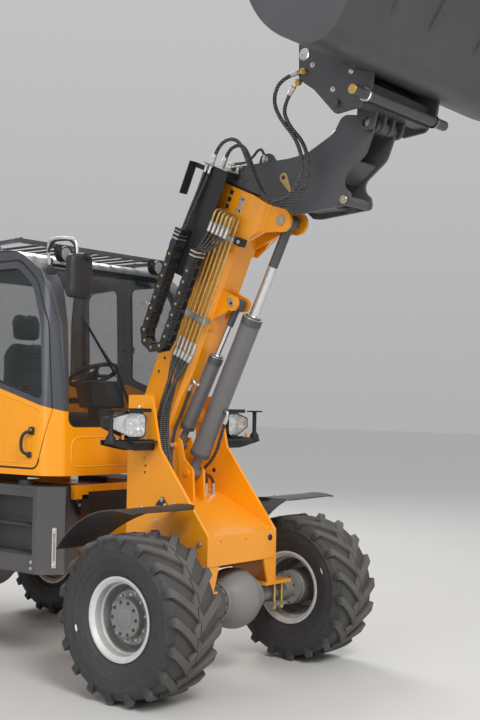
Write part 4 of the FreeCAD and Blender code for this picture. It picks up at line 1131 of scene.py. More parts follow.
def boom_hose_route(row, forward, right):
    """From a pipe's lower end past the boom pivot to the tower's deck."""
    start = on_boom(467, PIPE_Y, row)
    second = on_boom(355, PIPE_Y - right * 0.2, row * 0.8)
    middle = (second.x * 1000 - SHIFT + row * 0.2 - 372) / 2 + forward / 2
    return [start, second, at(middle, PIPE_Y - 5 - right * 0.8, 1780),
        at(-392 + forward, PIPE_Y - 15 - right, 1610),
        at(-385 + forward, PIPE_Y - 20 - right, 1430),
        at(-340 + forward, PIPE_Y - 20 - right, 1270),
        at(-300 + forward, PIPE_Y - 20 - right, 1112)]


def ferrule(piece, places, reach, radius, across, high):
    """Crimped sleeve over a hose's end and the hexagon nut beyond it. places start there."""
    run, picked = 0.0, [places[0]]
    for one, other in zip(places, places[1:]):
        run += (other - one).length * 1000
        picked.append(other)
        if run > reach:
            break
    way = (places[0] - places[2]).normalized()
    sizes = [radius] * (len(picked) - 1) + [radius * 0.86]
    piece.use("silver").tube(picked, sizes, 16)
    piece.bolt(places[0] - way * 0.003, way, across, high, False)


def run_length(places):
    """Metres along a run of places."""
    return sum((b - a).length for a, b in zip(places, places[1:]))


def hose(name, node, points, radius, ends, between):
    """One braided hose through its route, bending between two bodies."""
    places = curve_through(points)
    piece = Piece("hose").tube(places, radius, 14).made(name, None, [node], "hose_rubber")
    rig.cord(piece, exit=points[0], length=round(run_length(places), 3), diameter=radius / 500,
        far_end="object", stiffness="stiff", lay="hanging", path=places)
    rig.blend(piece, *ends, start=between[0], end=between[1])
    return places


class LOADER_OT_hoses(bpy.types.Operator):
    """Run the braided hoses past the boom pivot and over the arm head, with their fittings."""
    bl_idname = "loader.hoses"
    bl_label = "Hoses and fittings"

    def execute(self, context):
        low, high = Piece("silver"), Piece("silver")
        for number, (row, (forward, right)) in enumerate(zip(PIPE_ROWS, BUNDLE)):
            route = boom_hose_route(row, forward, right)
            places = hose(f"boom_hose_{number + 1}", "boom_hoses", route, BOOM_HOSE_R,
                ("front_frame", "boom"), (at(-380, -200, 1400), at(-400, -180, 1800)))
            ferrule(high, places, 46, BOOM_HOSE_R + 3.5, 25, 6)
            ferrule(low, places[::-1], 40, BOOM_HOSE_R + 3.0, 25, 22)
        high.made("boom_hose_fittings", "boom", (), "zinc_plated_steel")
        low.made("deck_hose_fittings", "front_frame", (), "zinc_plated_steel")

        start, end = Piece("silver"), Piece("silver")
        for number, points in enumerate(TOOL_HOSES):
            places = hose(f"tool_hose_{number + 1}", "tool_hoses", [at(*p) for p in points],
                TOOL_HOSE_R, ("telescope", "carrier"), (at(700, -300, 3012), at(920, -300, 3346)))
            ferrule(start, places, 60, TOOL_HOSE_R + 3.5, 30, 14)
            way = (places[0] - places[2]).normalized()
            start.bar(places[0], places[0] + way * 0.075, 9)
            start.bolt(places[0] + way * 0.034, way, 27, 14, True)
            ferrule(end, places[::-1], 45, TOOL_HOSE_R + 3.0, 28, 12)
            last = places[-1]
            way = (last - places[-3]).normalized()
            knob = last + way * 0.042
            knob.y = last.y
            end.use("brass").bar(last, knob, 9)
            end.spun(knob, -LEFT,
                [(-14, 18), (10, 18), (12, 16), (16, 16), (16, 9), (22, 9), (24, 7)], 20)
        start.made("bulkhead_fittings", "telescope", (), "zinc_plated_steel")
        end.made("coupler_fittings", "carrier", (), "zinc_plated_steel")
        return {"FINISHED"}


# ---- hose chain ----
CHAIN_R, CHAIN_MIDDLE, CHAIN_LOW = 92.0, 105.0, 520.0
CHAIN_ENDS = (1118.0, 1072.0)
CHAIN_Y = (-330.0, -240.0)


def chain_place(run):
    """Along, above and heading in degrees on the boom, at a run from the outer end."""
    straight = CHAIN_ENDS[0] - CHAIN_LOW
    if run < straight:
        return CHAIN_ENDS[0] - run, CHAIN_MIDDLE + CHAIN_R, 180.0
    turn = (run - straight) / CHAIN_R
    if turn < math.pi:
        return (CHAIN_LOW - CHAIN_R * math.sin(turn), CHAIN_MIDDLE + CHAIN_R * math.cos(turn),
                180.0 + math.degrees(turn))
    return CHAIN_LOW + run - straight - math.pi * CHAIN_R, CHAIN_MIDDLE - CHAIN_R, 0.0


def on_chain(run, across):
    """A matrix on the chain whose X runs on and whose Z looks out to the right."""
    along, above, heading = chain_place(run)
    a = math.radians(heading)
    return pose(on_boom(along, across, above), -LEFT, ALONG * math.cos(a) + ABOVE * math.sin(a))


class LOADER_OT_hose_chain(bpy.types.Operator):
    """Link up the hose carrier chain beside the boom."""
    bl_idname = "loader.hose_chain"
    bl_label = "Hose chain"

    def execute(self, context):
        pitch = context.scene.loader_sizes.chain_pitch * 1000
        whole = sum(end - CHAIN_LOW for end in CHAIN_ENDS) + math.pi * CHAIN_R
        count = int(whole / pitch)
        start = (whole - count * pitch) / 2
        # a link's side plate: a round end on each pin and a drawn-in waist
        half = pitch / 2
        plate = rounded([(-half - 24, -24, 20), (-half + 16, -26, 20), (0, -17, 12),
            (half - 10, -24, 16), (half + 22, -22, 18), (half + 22, 22, 18), (half - 10, 24, 16),
            (0, 17, 12), (-half + 16, 26, 20), (-half - 24, 24, 20)], 4)
        piece = Piece("plastic")
        for number in range(count):
            run = start + (number + 0.5) * pitch
            step = 3.5 if number % 2 else 0.0
            for across, way in ((CHAIN_Y[0], 1), (CHAIN_Y[1], -1)):
                level = across + way * (1 + step)
                low, high = sorted((-level, -(level + way * 6)))
                piece.prism(on_chain(run, 0), plate, low, high, 1.2)
            for above in (-21, 21):
                matrix = on_chain(run, 0) @ Matrix.Translation((0, above / 1000, 0))
                piece.prism(matrix, box_outline(-11, -3, 11, 3, 1), 244, 326, 0.8)
            if number:
                piece.use("brass").turned(on_chain(start + number * pitch, CHAIN_Y[0] + 1),
                    [(-4, 9.5), (-0.6, 9.5), (0.8, 8), (1.0, 4)], 18)
                piece.use("plastic")
        for across in (-268, -285, -302):
            steps = [whole * k / 60 for k in range(61)]
            piece.use("hose").tube([on_chain(run, across).translation for run in steps], 7.5, 10)
        # end clamps: a block with two straps and rows of screws
        for run, way in ((0, -1), (whole, 1)):
            matrix = on_chain(run, 0) @ Matrix.Translation((way * 0.012, 0, 0))
            piece.use("plastic").prism(matrix, box_outline(-26, -24, 26, 24, 6), 242, 328, 2)
            for off in (-14, 12):
                piece.use("silver").prism(matrix, box_outline(off - 5, -27, off + 5, 27, 2), 240,
                    329.5, 1)
                for above in (-18, -6, 6, 18):
                    spot = matrix @ Vector((off / 1000, above / 1000, 0.329))
                    piece.bolt(spot, -LEFT, 7, 2.5, False)
        piece.made("hose_chain", "boom", ["energy_chain"], "black_plastic")
        return {"FINISHED"}


# ---- boom and arm head ----
LIFT_BASE, LIFT_EYE = (-300.0, 1242.0), (1455.0, -360.0)
LEVEL_BASE, LEVEL_EYE = (-412.0, 1412.0), (858.0, -195.0)
TILT_BASE, TILT_EYE = (490.0, 3030.0), (1001.0, 3347.0)
CARRIER_PIVOT = (1085.0, 3268.0)


def pin_head(piece, place, side, radius, high):
    """A turned pin end with its locking bolt."""
    matrix = pose(place, LEFT * side)
    piece.use("pin").turned(matrix, [(-2, radius), (high - 2, radius), (high, radius - 2.5),
        (high, radius * 0.42), (high - 2, radius * 0.38), (high - 2, 0.5)], 32)
    piece.use("silver").bolt(matrix @ Vector((0, 0, (high - 2) / 1000)), LEFT * side,
        radius * 0.42, 5, False)


def keeper(piece, place, side, tip, radius, end, finish="zinc"):
    """A teardrop keeper plate from a pin's place to its tip, in millimetres in side view."""
    dx, dz = tip
    length, turn = math.hypot(dx, dz), math.atan2(dz, dx)
    outline = []
    for centre, r, first, sweep, steps in ((0, radius, 70, 220, 16), (length, end, -70, 140, 8)):
        for k in range(steps + 1):
            a = math.radians(first + sweep * k / steps)
            outline.append((centre + r * math.cos(a), r * math.sin(a)))
    matrix = pose(place, LEFT * side, Vector((math.cos(turn), 0, math.sin(turn))))
    piece.use(finish).prism(matrix, outline, -1, 6, 1.0)
    piece.use("black").bolt(matrix @ Vector((0, 0, 0.006)), LEFT * side, radius * 0.55, 6)
    piece.use(finish).bolt(matrix @ Vector((length / 1000, 0, 0.006)), LEFT * side, 12, 5)


class Ram:
    """A cylinder's line in side view: places at a distance along it and off it."""

    def __init__(self, base, eye):
        self.start, end = at(base[0], 0, base[1]), eye
        self.way = (end - self.start).normalized()
        self.length = (end - self.start).length * 1000
        self.off = Vector((self.way.z, 0, -self.way.x))

    def at(self, along, off=0.0, across=0.0):
        return self.start + (self.way * along + self.off * off + LEFT * across) / 1000

    def ring(self, piece, rings):
        piece.spun(self.start, self.way, rings, 40, closed=True)


def boom_rams():
    """The boom's three cylinders by name."""
    return {"lift": Ram(LIFT_BASE, on_boom(LIFT_EYE[0], 0, LIFT_EYE[1])),
            "level": Ram(LEVEL_BASE, on_boom(LEVEL_EYE[0], 0, LEVEL_EYE[1])),
            "tilt": Ram(TILT_BASE, at(TILT_EYE[0], 0, TILT_EYE[1]))}


# a barrel's radius, its rod's, its length, and the places (along, off, across) that its port
# and its feed line run through
RAM_FITTINGS = {
    "lift": (63, 30, 1080, ((470, 55), (470, 82), (462, 90), (440, 92)),
             ((440, 92), (330, 92, 12), (210, 84, 44), (110, 52, 72), (40, 14, 84), (0, 0, 88))),
    "level": (45, 23, 640, ((430, -8, -40), (431, -18, -64), (440, -34, -76), (448, -54, -72),
                            (436, -66, -58), (408, -66, -50)),
              ((408, -66, -50), (300, -60, -42), (190, -54, -46), (100, -42, -62), (40, -14, -78),
               (0, 0, -80))),
    "tilt": (42, 22, 470, ((430, -38), (430, -58), (424, -64), (400, -64)),
             ((400, -64), (300, -60), (200, -56, -8), (130, -46, -20), (108, -36, -24))),
}


def boom_cheek(head, side):
    """One side of the boom head: its cheek, plugs, plates, clamps and pin ends."""
    loops = []
    for above, out, low, high in ((62, 128.0, 1148, 1529), (-100, 128.0, 1148, 1531),
                                  (-118, 125.0, 1152, 1531), (-206, 98.5, 1312, 1515),
                                  (-226, 94.5, 1330, 1513), (-262, 94.5, 1351, 1515)):
        loops.append([on_boom(a, side * o, above) for a, o in
                      ((low, out), (high, out), (high, out - 5), (low, out - 5))])
    head.skin(loops)
    # weld bead along a cheek's lower front edge
    head.tube([on_boom(1150, side * 124, -112), on_boom(1248, side * 111, -179),
               on_boom(1346, side * 95, -246)], 4.0, 8)
    view = boom_view(side * 128, side)
    for along in (1405, 1450, 1495):
        head.use("dark").prism(view, box_outline(along - 15, 32, along + 15, 60, 3), -2, 2, 0.8)
        # the near-black inset is painted shade in each plug's opening
        head.use("inside").prism(view, box_outline(along - 11, 36, along + 11, 56, 2), -1,
            2.4, 0.4)
        head.use("black").bolt(view @ Vector((along / 1000, 0.046, 0.001)), LEFT * side, 10,
            3, False)
    plate = [(1396, -72), (1494, -72), (1494, -30), (1470, -30), (1470, -46), (1452, -46),
        (1452, -30), (1436, -30), (1436, -46), (1418, -46), (1418, -30), (1396, -30)]
    head.use("silver").prism(view, plate, -1, 3, 0.6)
    for along in (1408, 1482):
        head.use("black").bolt(view @ Vector((along / 1000, -0.061, 0.003)), LEFT * side, 9, 3)
    head.use("brass").bolt(on_boom(1300, side * 128, -62), LEFT * side, 16, 5)
    head.use("dark").bolt(on_boom(1262, side * 128, 18), LEFT * side, 13, 4)
    pin_head(head, on_boom(LIFT_EYE[0], side * 92, LIFT_EYE[1]), side, 31, 10)
    keeper(head, on_boom(LEVEL_EYE[0], side * 67.5, LEVEL_EYE[1]), side, (-22, 40),
           21, 12, "silver")
    for along, above in ((343, 143), (245, 155), (244, -2)):
        head.use("dark").bolt(on_boom(along, side * 110, above), LEFT * side, 13, 4)
    # collar where the pivot boss meets the tower's plates
    head.use("paint").spun(on_boom(0, side * 250, 0), LEFT * side,
        [(-4, 46), (2, 52), (14, 52), (16, 50)], 32)


class LOADER_OT_boom_head(bpy.types.Operator):
    """Weld on the boom head's cheeks and fit its plugs, plates, clamps and pin ends."""
    bl_idname = "loader.boom_head"
    bl_label = "Boom head"

    def execute(self, context):
        head = Piece("paint")
        for side in (-1, 1):
            boom_cheek(head, side)
        head.made("boom_head_details", "boom", (), "orange_yellow_paint")

        clamps = Piece("silver")
        for along in (700, 1235):
            matrix = pose(on_boom(along, PIPE_Y, 0), -LEFT, ALONG)
            clamps.use("silver").prism(matrix, [(-20, -131), (20, -131), (20, 52), (-20, 52)],
                -20, 20, 3)
            for row in (12, -22, -57, -92):
                clamps.bolt(matrix @ Vector((0, row / 1000, 0.02)), -LEFT, 10, 4, False)
        matrix = pose(on_boom(1238, -150, -156), -LEFT, ALONG)
        clamps.use("black").prism(matrix, box_outline(-24, -28, 24, 26, 4), -40, 14, 2)
        clamps.use("silver").bolt(matrix @ Vector((0, -0.004, 0.014)), -LEFT, 16, 7)
        # each pipe's turned-over leg ends in a fitting and a line to the hose chain
        for number, row in enumerate(PIPE_ROWS):
            clamps.use("silver").bar(on_boom(1286, -235, row), on_boom(1232, -238, row), 11.5)
            clamps.bolt(on_boom(1288, -235, row), ALONG, 21, 12, False)
            end = 38 - number * 12
            line = [on_boom(1238, -238, row), on_boom(1190, -246, row * 0.8 + end * 0.2),
                    on_boom(1140, -262, (row + end) / 2), on_boom(1100, -272, end)]
            clamps.use("hose").tube(line, 7.5, 10)
            clamps.use("silver").bar(on_boom(540, PIPE_Y, row), on_boom(472, PIPE_Y, row), 12.6)
            clamps.bolt(on_boom(545, PIPE_Y, row), -ALONG, 22, 14, False)
        clamps.made("pipe_clamps", "boom", (), "zinc_plated_steel")
        return {"FINISHED"}


class LOADER_OT_arm_head(bpy.types.Operator):
    """Fit the bulkhead, its lines and cover, and the arm head's pins and keepers."""
    bl_idname = "loader.arm_head"
    bl_label = "Arm head and bulkhead"

    def execute(self, context):
        piece = Piece("silver")
        matrix = pose(on_boom(1610, -190, 138), ALONG, ABOVE)
        piece.prism(matrix, box_outline(-100, -72, 100, 68, 6), 0, 5, 1.2)
        for above, across in ((110, -158), (76, -186), (52, -140)):
            base = on_boom(1614, across, above)
            piece.use("silver").bolt(base, ALONG, 24, 12)
            tip = base + ALONG * 0.034
            piece.bar(base, tip, 8)
            piece.tube([tip - ALONG * 0.006, tip + ALONG * 0.004,
                tip + ALONG * 0.01 - ABOVE * 0.014, tip + ALONG * 0.01 - ABOVE * 0.03], 8.5, 12)
        # short feed pipe from the bulkhead to the arm head's upper ear
        feed = [at(92, -158, 3150), at(150, -150, 3150), at(196, -128, 3152),
                at(236, -104, 3186), at(262, -88, 3232), at(290, -82, 3236), at(306, -80, 3196)]
        piece.use("hose").run(feed, 8.5, 12)
        piece.use("silver").bar(feed[-1], at(312, -80, 3168), 10)
        piece.bar(feed[0] + (feed[1] - feed[0]) * 0.5, feed[0], 10.5)
        piece.spun(at(312, -70, 3165), -LEFT,
            [(-2, 24), (8, 24), (10, 22), (10, 12), (22, 12), (24, 10)], 28)
        # two lines down the guard to the hose chain's clamp
        for shift in (0, -34):
            line = [on_boom(1606, -247, 206 + shift), on_boom(1540, -248, 206 + shift),
                    on_boom(1430, -252, 208 + shift * 0.8), on_boom(1300, -264, 208 + shift * 0.6),
                    on_boom(1200, -280, 200 + shift * 0.5), on_boom(1160, -285, 197 + shift * 0.4)]
            piece.use("hose").run(line, 7.5, 10)
            piece.use("silver").bar(line[0], on_boom(1556, -248, 206 + shift), 10.5)
            piece.bolt(on_boom(1604, -247, 206 + shift), -ALONG, 21, 12, False)
        clamp = pose(on_boom(1166, -285, 194), -LEFT, ALONG)
        piece.use("black").prism(clamp, box_outline(-18, -34, 18, 28, 5), -44, 42, 2)
        for above in (-24, -8, 8, 20):
            piece.use("silver").bolt(clamp @ Vector((0, above / 1000, 0.042)), -LEFT, 9, 4, False)
        piece.made("bulkhead_details", "telescope", (), "zinc_plated_steel")

        arm = Piece("pin")
        for side in (-1, 1):
            keeper(arm, at(TILT_BASE[0], side * 120, TILT_BASE[1]), side, (48, -82), 29, 11)
            pin_head(arm, at(925, side * 130, 2852), side, 25, 7)
            pin_head(arm, at(CARRIER_PIVOT[0], side * 132, CARRIER_PIVOT[1]), side, 23, 8)
            # the socket's bolts
            arm.use("dark")
            for above in (-40, 20, 80, 140):
                arm.bolt(on_boom(1572, side * 120, above), LEFT * side, 17, 6)
        arm.made("arm_head_pins", "telescope", (), "machined_steel")
        return {"FINISHED"}


def ram_fittings(name, ram, radius, rod, closed, port, feed):
    """One cylinder: base band, gland, wiper ring, port and feed pipe."""
    port, feed = ([ram.at(*row) for row in rows] for rows in (port, feed))
    piece = Piece("dark")
    ram.ring(piece,
        [(closed - 46, radius), (closed - 44, radius + 2.5), (closed + 1, radius + 2.5),
        (closed + 3, radius + 1), (closed + 3, rod + 17), (closed - 46, rod + 17)])
    piece.use("silver")
    ram.ring(piece, [(closed + 1, radius + 2.2), (closed + 4.5, radius + 1),
        (closed + 4.5, radius - 9), (closed + 1, radius - 9)])
    ram.ring(piece, [(closed + 15, rod + 15), (closed + 19, rod + 12), (closed + 19, rod + 3),
        (closed + 15, rod + 1)])
    piece.use("dark")
    ram.ring(piece,
        [(122, radius + 0.5), (124, radius + 3), (148, radius + 3), (150, radius + 0.5)])
    if name == "lift":
        # boss under the port
        piece.use("dark").spun(ram.at(470), ram.off, [(58, 20), (72, 20), (74, 18)], 20)
    piece.use("silver").run(port, 10, 12)
    piece.bolt(port[0] + (port[1] - port[0]).normalized() * 0.006,
               port[1] - port[0], 28, 14, False)
    piece.bar(port[-1], port[-1] - ram.way * 0.044, 14)
    piece.use("hose").run(feed, 10.5, 12)
    if name != "tilt":
        end = feed[-1]
        piece.use("silver").spun(end, LEFT, [(-12, 15), (-10, 17), (10, 17), (12, 15)], 20)
    piece.made(f"{name}_ram_fittings", f"{name}_barrel", (), "dark_grey_paint")


class LOADER_OT_ram_fittings(bpy.types.Operator):
    """Fit the cylinders' glands, ports and feed pipes."""
    bl_idname = "loader.ram_fittings"
    bl_label = "Cylinder fittings"

    def execute(self, context):
        rams = boom_rams()
        lift, level = rams["lift"], rams["level"]
        for name, sizes in RAM_FITTINGS.items():
            ram_fittings(name, rams[name], *sizes)
        # lines from the deck to the swivels on the two base pins
        deck = Piece("silver")
        for x, y, end in ((-346, 186, lift.at(0, 0, 88)), (-320, 226, lift.at(0, 0, 94)),
                          (-404, -92, level.at(0, 0, -82))):
            foot = at(x, y, 1092 if x > -400 else 1110)
            deck.use("silver").bar(foot - UP * 0.014, foot + UP * 0.068, 14)
            deck.bolt(foot - UP * 0.012, UP, 34, 18, False)
            top = foot + UP * 0.05
            line = [top, top + UP * 0.03, (top + end) / 2 + UP * 0.02 + LEFT * (
                0.02 if y > 0 else -0.006), end + (top - end) * 0.12, end]
            deck.use("hose").run(line, 10.5, 12)
        deck.made("deck_lines", "front_frame", (), "zinc_plated_steel")
        return {"FINISHED"}


# ---- cab ----
OUTSIDE = 900.0                # clear of the machine's sides
CUSHION_TOP, CUSHION_LOW = 1590.0, 1501.0
BACK_LEAN = math.radians(4.6)
PAD_VOXEL = 0.006
# the pads that lean back: foot in side view, outline (across, up) with its corners' radii,
# front and back faces, and how far the stuffing may swell them
BACK_PADS = (
    ("seat_back_pad", (-1925, 1566),
     [(-196, 0, 60), (196, 0, 60), (226, 250, 260), (206, 470, 120), (130, 548, 70),
      (-130, 548, 70), (-206, 470, 120), (-226, 250, 260)], 44, -38, 0.016),
    ("seat_headrest_pad", (-1966, 2126),
     [(-112, 0, 40), (112, 0, 40), (124, 130, 60), (96, 194, 50), (-96, 194, 50),
      (-124, 130, 60)], 34, -34, 0.014),
)
# the line between the cab's yellow foot and its grey frame, in side view
BORDER = [(-2105, 1850), (-1560, 1812), (-1020, 1652), (-860, 1605)]


def skin_of(*names):
    """Finds where a line meets the outside of some carried-over nodes, or stands proud of it."""
    trees = [BVHTree.FromPolygons([v.co for v in NODES[name].data.vertices],
        [p.vertices for p in NODES[name].data.polygons]) for name in names]

    def meet(start, way, proud):
        # in a gap, the skin a little to one side gives the depth
        for shift in (Vector(), UP * 0.012, UP * -0.012, FORWARD * 0.012, FORWARD * -0.012):
            hits = [tree.ray_cast(start + shift, way) for tree in trees]
            hits = [hit for hit in hits if hit[0] is not None]
            if hits:
                place, normal = min(hits, key=lambda hit: hit[3])[:2]
                out = normal if normal.dot(way) < 0 else -normal
                return place - shift + out * (proud / 1000)
        raise RuntimeError("no skin at " + str(start))
    return meet


def swollen(pad, reach, bounds):
    """Cloth under pressure rounds a pad; no point moves further than reach, in metres.

    bounds then keeps each point clear of what the pad rests on."""
    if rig.quick():
        return
    scene = bpy.context.scene
    even = pad.modifiers.new("even", "REMESH")
    even.mode, even.voxel_size = "VOXEL", PAD_VOXEL
    depsgraph = bpy.context.evaluated_depsgraph_get()
    mesh = bpy.data.meshes.new_from_object(pad.evaluated_get(depsgraph))
    pad.modifiers.clear()
    pad.data = mesh
    start = [v.co.copy() for v in mesh.vertices]
    sheet = pad.modifiers.new("sheet", "CLOTH")
    sheet.settings.use_pressure = True
    sheet.settings.uniform_pressure_force = 4.0
    sheet.settings.effector_weights.gravity = 0.0
    for number in range(1, 21):
        scene.frame_set(number)
    depsgraph = bpy.context.evaluated_depsgraph_get()
    grown = bpy.data.meshes.new_from_object(pad.evaluated_get(depsgraph))
    pad.modifiers.clear()
    pad.data = grown
    scene.frame_set(1)
    for vertex, place in zip(grown.vertices, start):
        step = vertex.co - place
        if step.length > reach:
            vertex.co = place + step * (reach / step.length)
        bounds(vertex.co)


def sewn(pad, channels):
    """Presses sewn lines into a pad; each gives a depth for a place on its skin."""
    for vertex in pad.data.vertices:
        move = Vector()
        for channel in channels:
            move += channel(vertex.co, vertex.normal)
        vertex.co += move
    soft = pad.modifiers.new("soft", "SUBSURF")
    soft.levels = soft.render_levels = 1
    for polygon in pad.data.polygons:
        polygon.use_smooth = True


def groove(axis, value, way, half, depth, low=-1.0, high=1.0, across=0):
    """A sewn line across an axis, on the side of the pad that faces way."""
    def press(place, normal):
        if normal.dot(way) < 0.25 or not low < place[across] < high:
            return Vector()
        return way * (-depth * math.exp(-((place[axis] - value) / half) ** 2))
    return press


def seat_outline(back, back_half, front, front_half):
    """A cushion from above, by its ends and its half widths there."""
    return rounded([(back, -back_half, 50), (front, -front_half, 70), (front, front_half, 70),
        (back, back_half, 50)], 6)


def back_pad(name, foot, outline, front, back, reach, forward):
    """A pad that leans back with the seat: the backrest or the headrest."""
    piece = Piece("cloth")
    matrix = pose(at(foot[0], 0, foot[1]), forward, LEFT)
    ring = [Vector((x, y, 0)) for x, y in rounded(outline, 6)]
    loops = []
    for up, inset in ((back, 26), (back + 8, 8), (back + 26, 2), (front - 28, 2),
                      (front - 9, 9), (front, 30)):
        loops.append([matrix @ (Vector((p.x, p.y, up)) / 1000) for p in drawn_in(ring, inset)])
    piece.skin(loops)
    made = piece.made(name, "rear_frame", ["seat_back"], "seat_fabric")

    def off_cushion(place):
        if place.z < 1.612:
            place.x = min(place.x, at(-1873, 0, 0).x)

    swollen(made, reach, off_cushion)
    if name == "seat_back_pad":
        across = [groove(2, z / 1000, forward, 0.006, 0.006, -0.132, 0.132, 1)
                  for z in (1690, 1800, 1910, 2020)]
        sewn(made, [groove(1, y / 1000, forward, 0.006, 0.009) for y in (-132, 132)] + across)
    else:
        sewn(made, [groove(2, 2.156, forward, 0.005, 0.004)])
    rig.padded(made, fill=0.7)


class LOADER_OT_seat(bpy.types.Operator):
    """Sew the seat: a cushion, a backrest and a headrest of padded cloth."""
    bl_idname = "loader.seat"
    bl_label = "Seat"

    def execute(self, context):
        cushion = Piece("cloth")
        matrix = top_view(0)
        levels = [(CUSHION_LOW, 24), (CUSHION_LOW + 6, 12), (1530, 7), (1566, 8), (1582, 16),
                  (CUSHION_TOP, 38)]
        loops = []
        for z, inset in levels:
            ring = seat_outline(-1866 + inset, 236 - inset, -1404 - inset, 228 - inset)
            rise = 0.012 if z > 1520 else 0    # the upper part slopes up to the front
            loops.append([matrix @ (Vector((x, y, z + (x + 1640) * rise)) / 1000)
                          for x, y in ring])
        cushion.skin(loops)
        pad = cushion.made("seat_cushion_pad", "rear_frame", ["seat_cushion"], "seat_fabric")

        def on_base(place):
            place.z = max(place.z, (CUSHION_LOW - 0.3) / 1000)

        swollen(pad, 0.016, on_base)
        middle = at(-1640, 0, 0).x
        across = [groove(0, middle + x / 1000, UP, 0.006, 0.006, -0.148, 0.148, 1)
                  for x in (-110, 0, 110)]
        piping = groove(2, 1.568, FORWARD, 0.004, 0.004)
        sewn(pad, [groove(1, y / 1000, UP, 0.006, 0.008) for y in (-148, 148)] + across + [piping])
        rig.padded(pad, fill=0.7)

        forward = Vector((math.cos(BACK_LEAN), 0, math.sin(BACK_LEAN)))
        for name, foot, outline, front, back, reach in BACK_PADS:
            back_pad(name, foot, outline, front, back, reach, forward)

        trim = Piece("seal")
        for height, inset in ((1572, 4), (1512, 6)):
            ring = seat_outline(-1868 + inset, 238 - inset, -1400 - inset, 230 - inset)
            trim.tube([at(x, y, height) for x, y in ring + ring[:1]], 2.6, 8, False)
        trim.use("steel")
        for y in (-58, 58):
            trim.bar(at(-1962, y, 2100), at(-1969, y, 2140), 6)
        trim.use("plastic")
        arm_rest = rounded(
            [(-1900, 1660, 12), (-1560, 1674, 22), (-1556, 1712, 22), (-1900, 1712, 16)])
        for side in (-1, 1):
            trim.prism(side_view(side * 282, side), arm_rest, -44, 0, 8)
            trim.bar(at(-1890, side * 258, 1560), at(-1880, side * 258, 1680), 11)
        trim.made("seat_trim", "rear_frame", (), "black_plastic")
        return {"FINISHED"}


def cab_side(side, name):
    """One side of the cab: seals, panel bead, handle, hinge covers, pillar bead and grab rail."""
    inward = LEFT * -side
    meet = skin_of(f"{name}_door", "cab_tub", "cab_pillars", "cab_roof",
                   f"{name}_door_glass", "fixed_glass")

    def on_side(x, z, proud):
        return meet(at(x, side * OUTSIDE, z), inward, proud)

    def along(points, gap, proud):
        return [on_side(x, z, proud) for x, z in spaced(points, gap)]

    edge = rounded([(-1617, 1253, 40), (-1047, 1248, 60), (-963, 1620, 60), (-988, 2180, 200),
        (-1067, 2457, 200), (-1232, 2597, 120), (-1617, 2597, 40)], 8)
    seal = Piece("seal")
    seal.tube(along(edge + edge[:1], 30, -3.5), 7.5, 8)
    seal.made(f"{name}_door_seal", "rear_frame", (), "rubber_mat")

    glazing = Piece("seal")
    pane_edge = rounded([(-1556, 1853, 50), (-1023, 1695, 30), (-1043, 2180, 200),
        (-1118, 2428, 200), (-1250, 2541, 100), (-1556, 2541, 50)], 8)
    glazing.tube(along(pane_edge + pane_edge[:1], 30, -3), 7, 8)
    glazing.use("paint")
    low_panel = rounded(
        [(-1590, 1790, 30), (-1010, 1622, 50), (-1070, 1285, 60), (-1590, 1290, 40)], 7)
    glazing.tube(along(low_panel + low_panel[:1], 24, -3.4), 6.5, 10)
    glazing.use("plastic")
    grab = [on_side(-1095, 1490, 6), on_side(-1108, 1486, 30), on_side(-1134, 1462, 46),
            on_side(-1144, 1420, 48), on_side(-1142, 1372, 46), on_side(-1132, 1344, 32),
            on_side(-1112, 1336, 6)]
    glazing.run(grab, 10.5, 12, 6)
    for x, z, wide in ((-1092, 1490, 25), (-1108, 1335, 19)):
        matrix = pose(on_side(x, z, -1), inward * -1, UP)
        glazing.prism(matrix, box_outline(-wide, -wide * 0.9, wide, wide * 0.9, 7), 0, 15, 3)
    glazing.use("silver").spun(on_side(-1092, 1496, 12), inward * -1,
        [(0, 9), (4, 9), (5, 7.5), (5, 3), (3, 2), (3, 0)], 20)
    for z in (1350, 2080):
        # hinge covers and their screws
        matrix = pose(on_side(-1590, z, -1), inward * -1, UP)
        glazing.use("plastic").prism(matrix, box_outline(-26, -17, 26, 17, 5), 0, 5, 1.5)
        for up in (-15, 15):
            glazing.use("silver").bolt(matrix @ (Vector((up, 0, 5)) / 1000), inward * -1, 10,
                4, False)
    glazing.made(f"{name}_door_fittings", f"{name}_door", (), "black_plastic")

    post = Piece("cab")
    spine = [(-905, 1640), (-925, 1900), (-948, 2180), (-990, 2400), (-1040, 2520)]
    post.tube(along(spine, 40, 2), 7, 10)
    post.use("plastic")
    rail = [on_side(-1662, 1420, 0), on_side(-1662, 1440, 46), on_side(-1662, 1500, 52),
            on_side(-1662, 1760, 50), on_side(-1662, 1900, 48),
            on_side(-1662, 1960, 44), on_side(-1662, 1980, 0)]
    post.run(rail, 12, 14, 8)
    for z in (1420, 1980):
        post.spun(on_side(-1662, z, -1), inward * -1, [(0, 26), (5, 26), (7, 23), (7, 0)], 24)
    post.made(f"{name}_cab_rail", "rear_frame", (), "black_plastic")


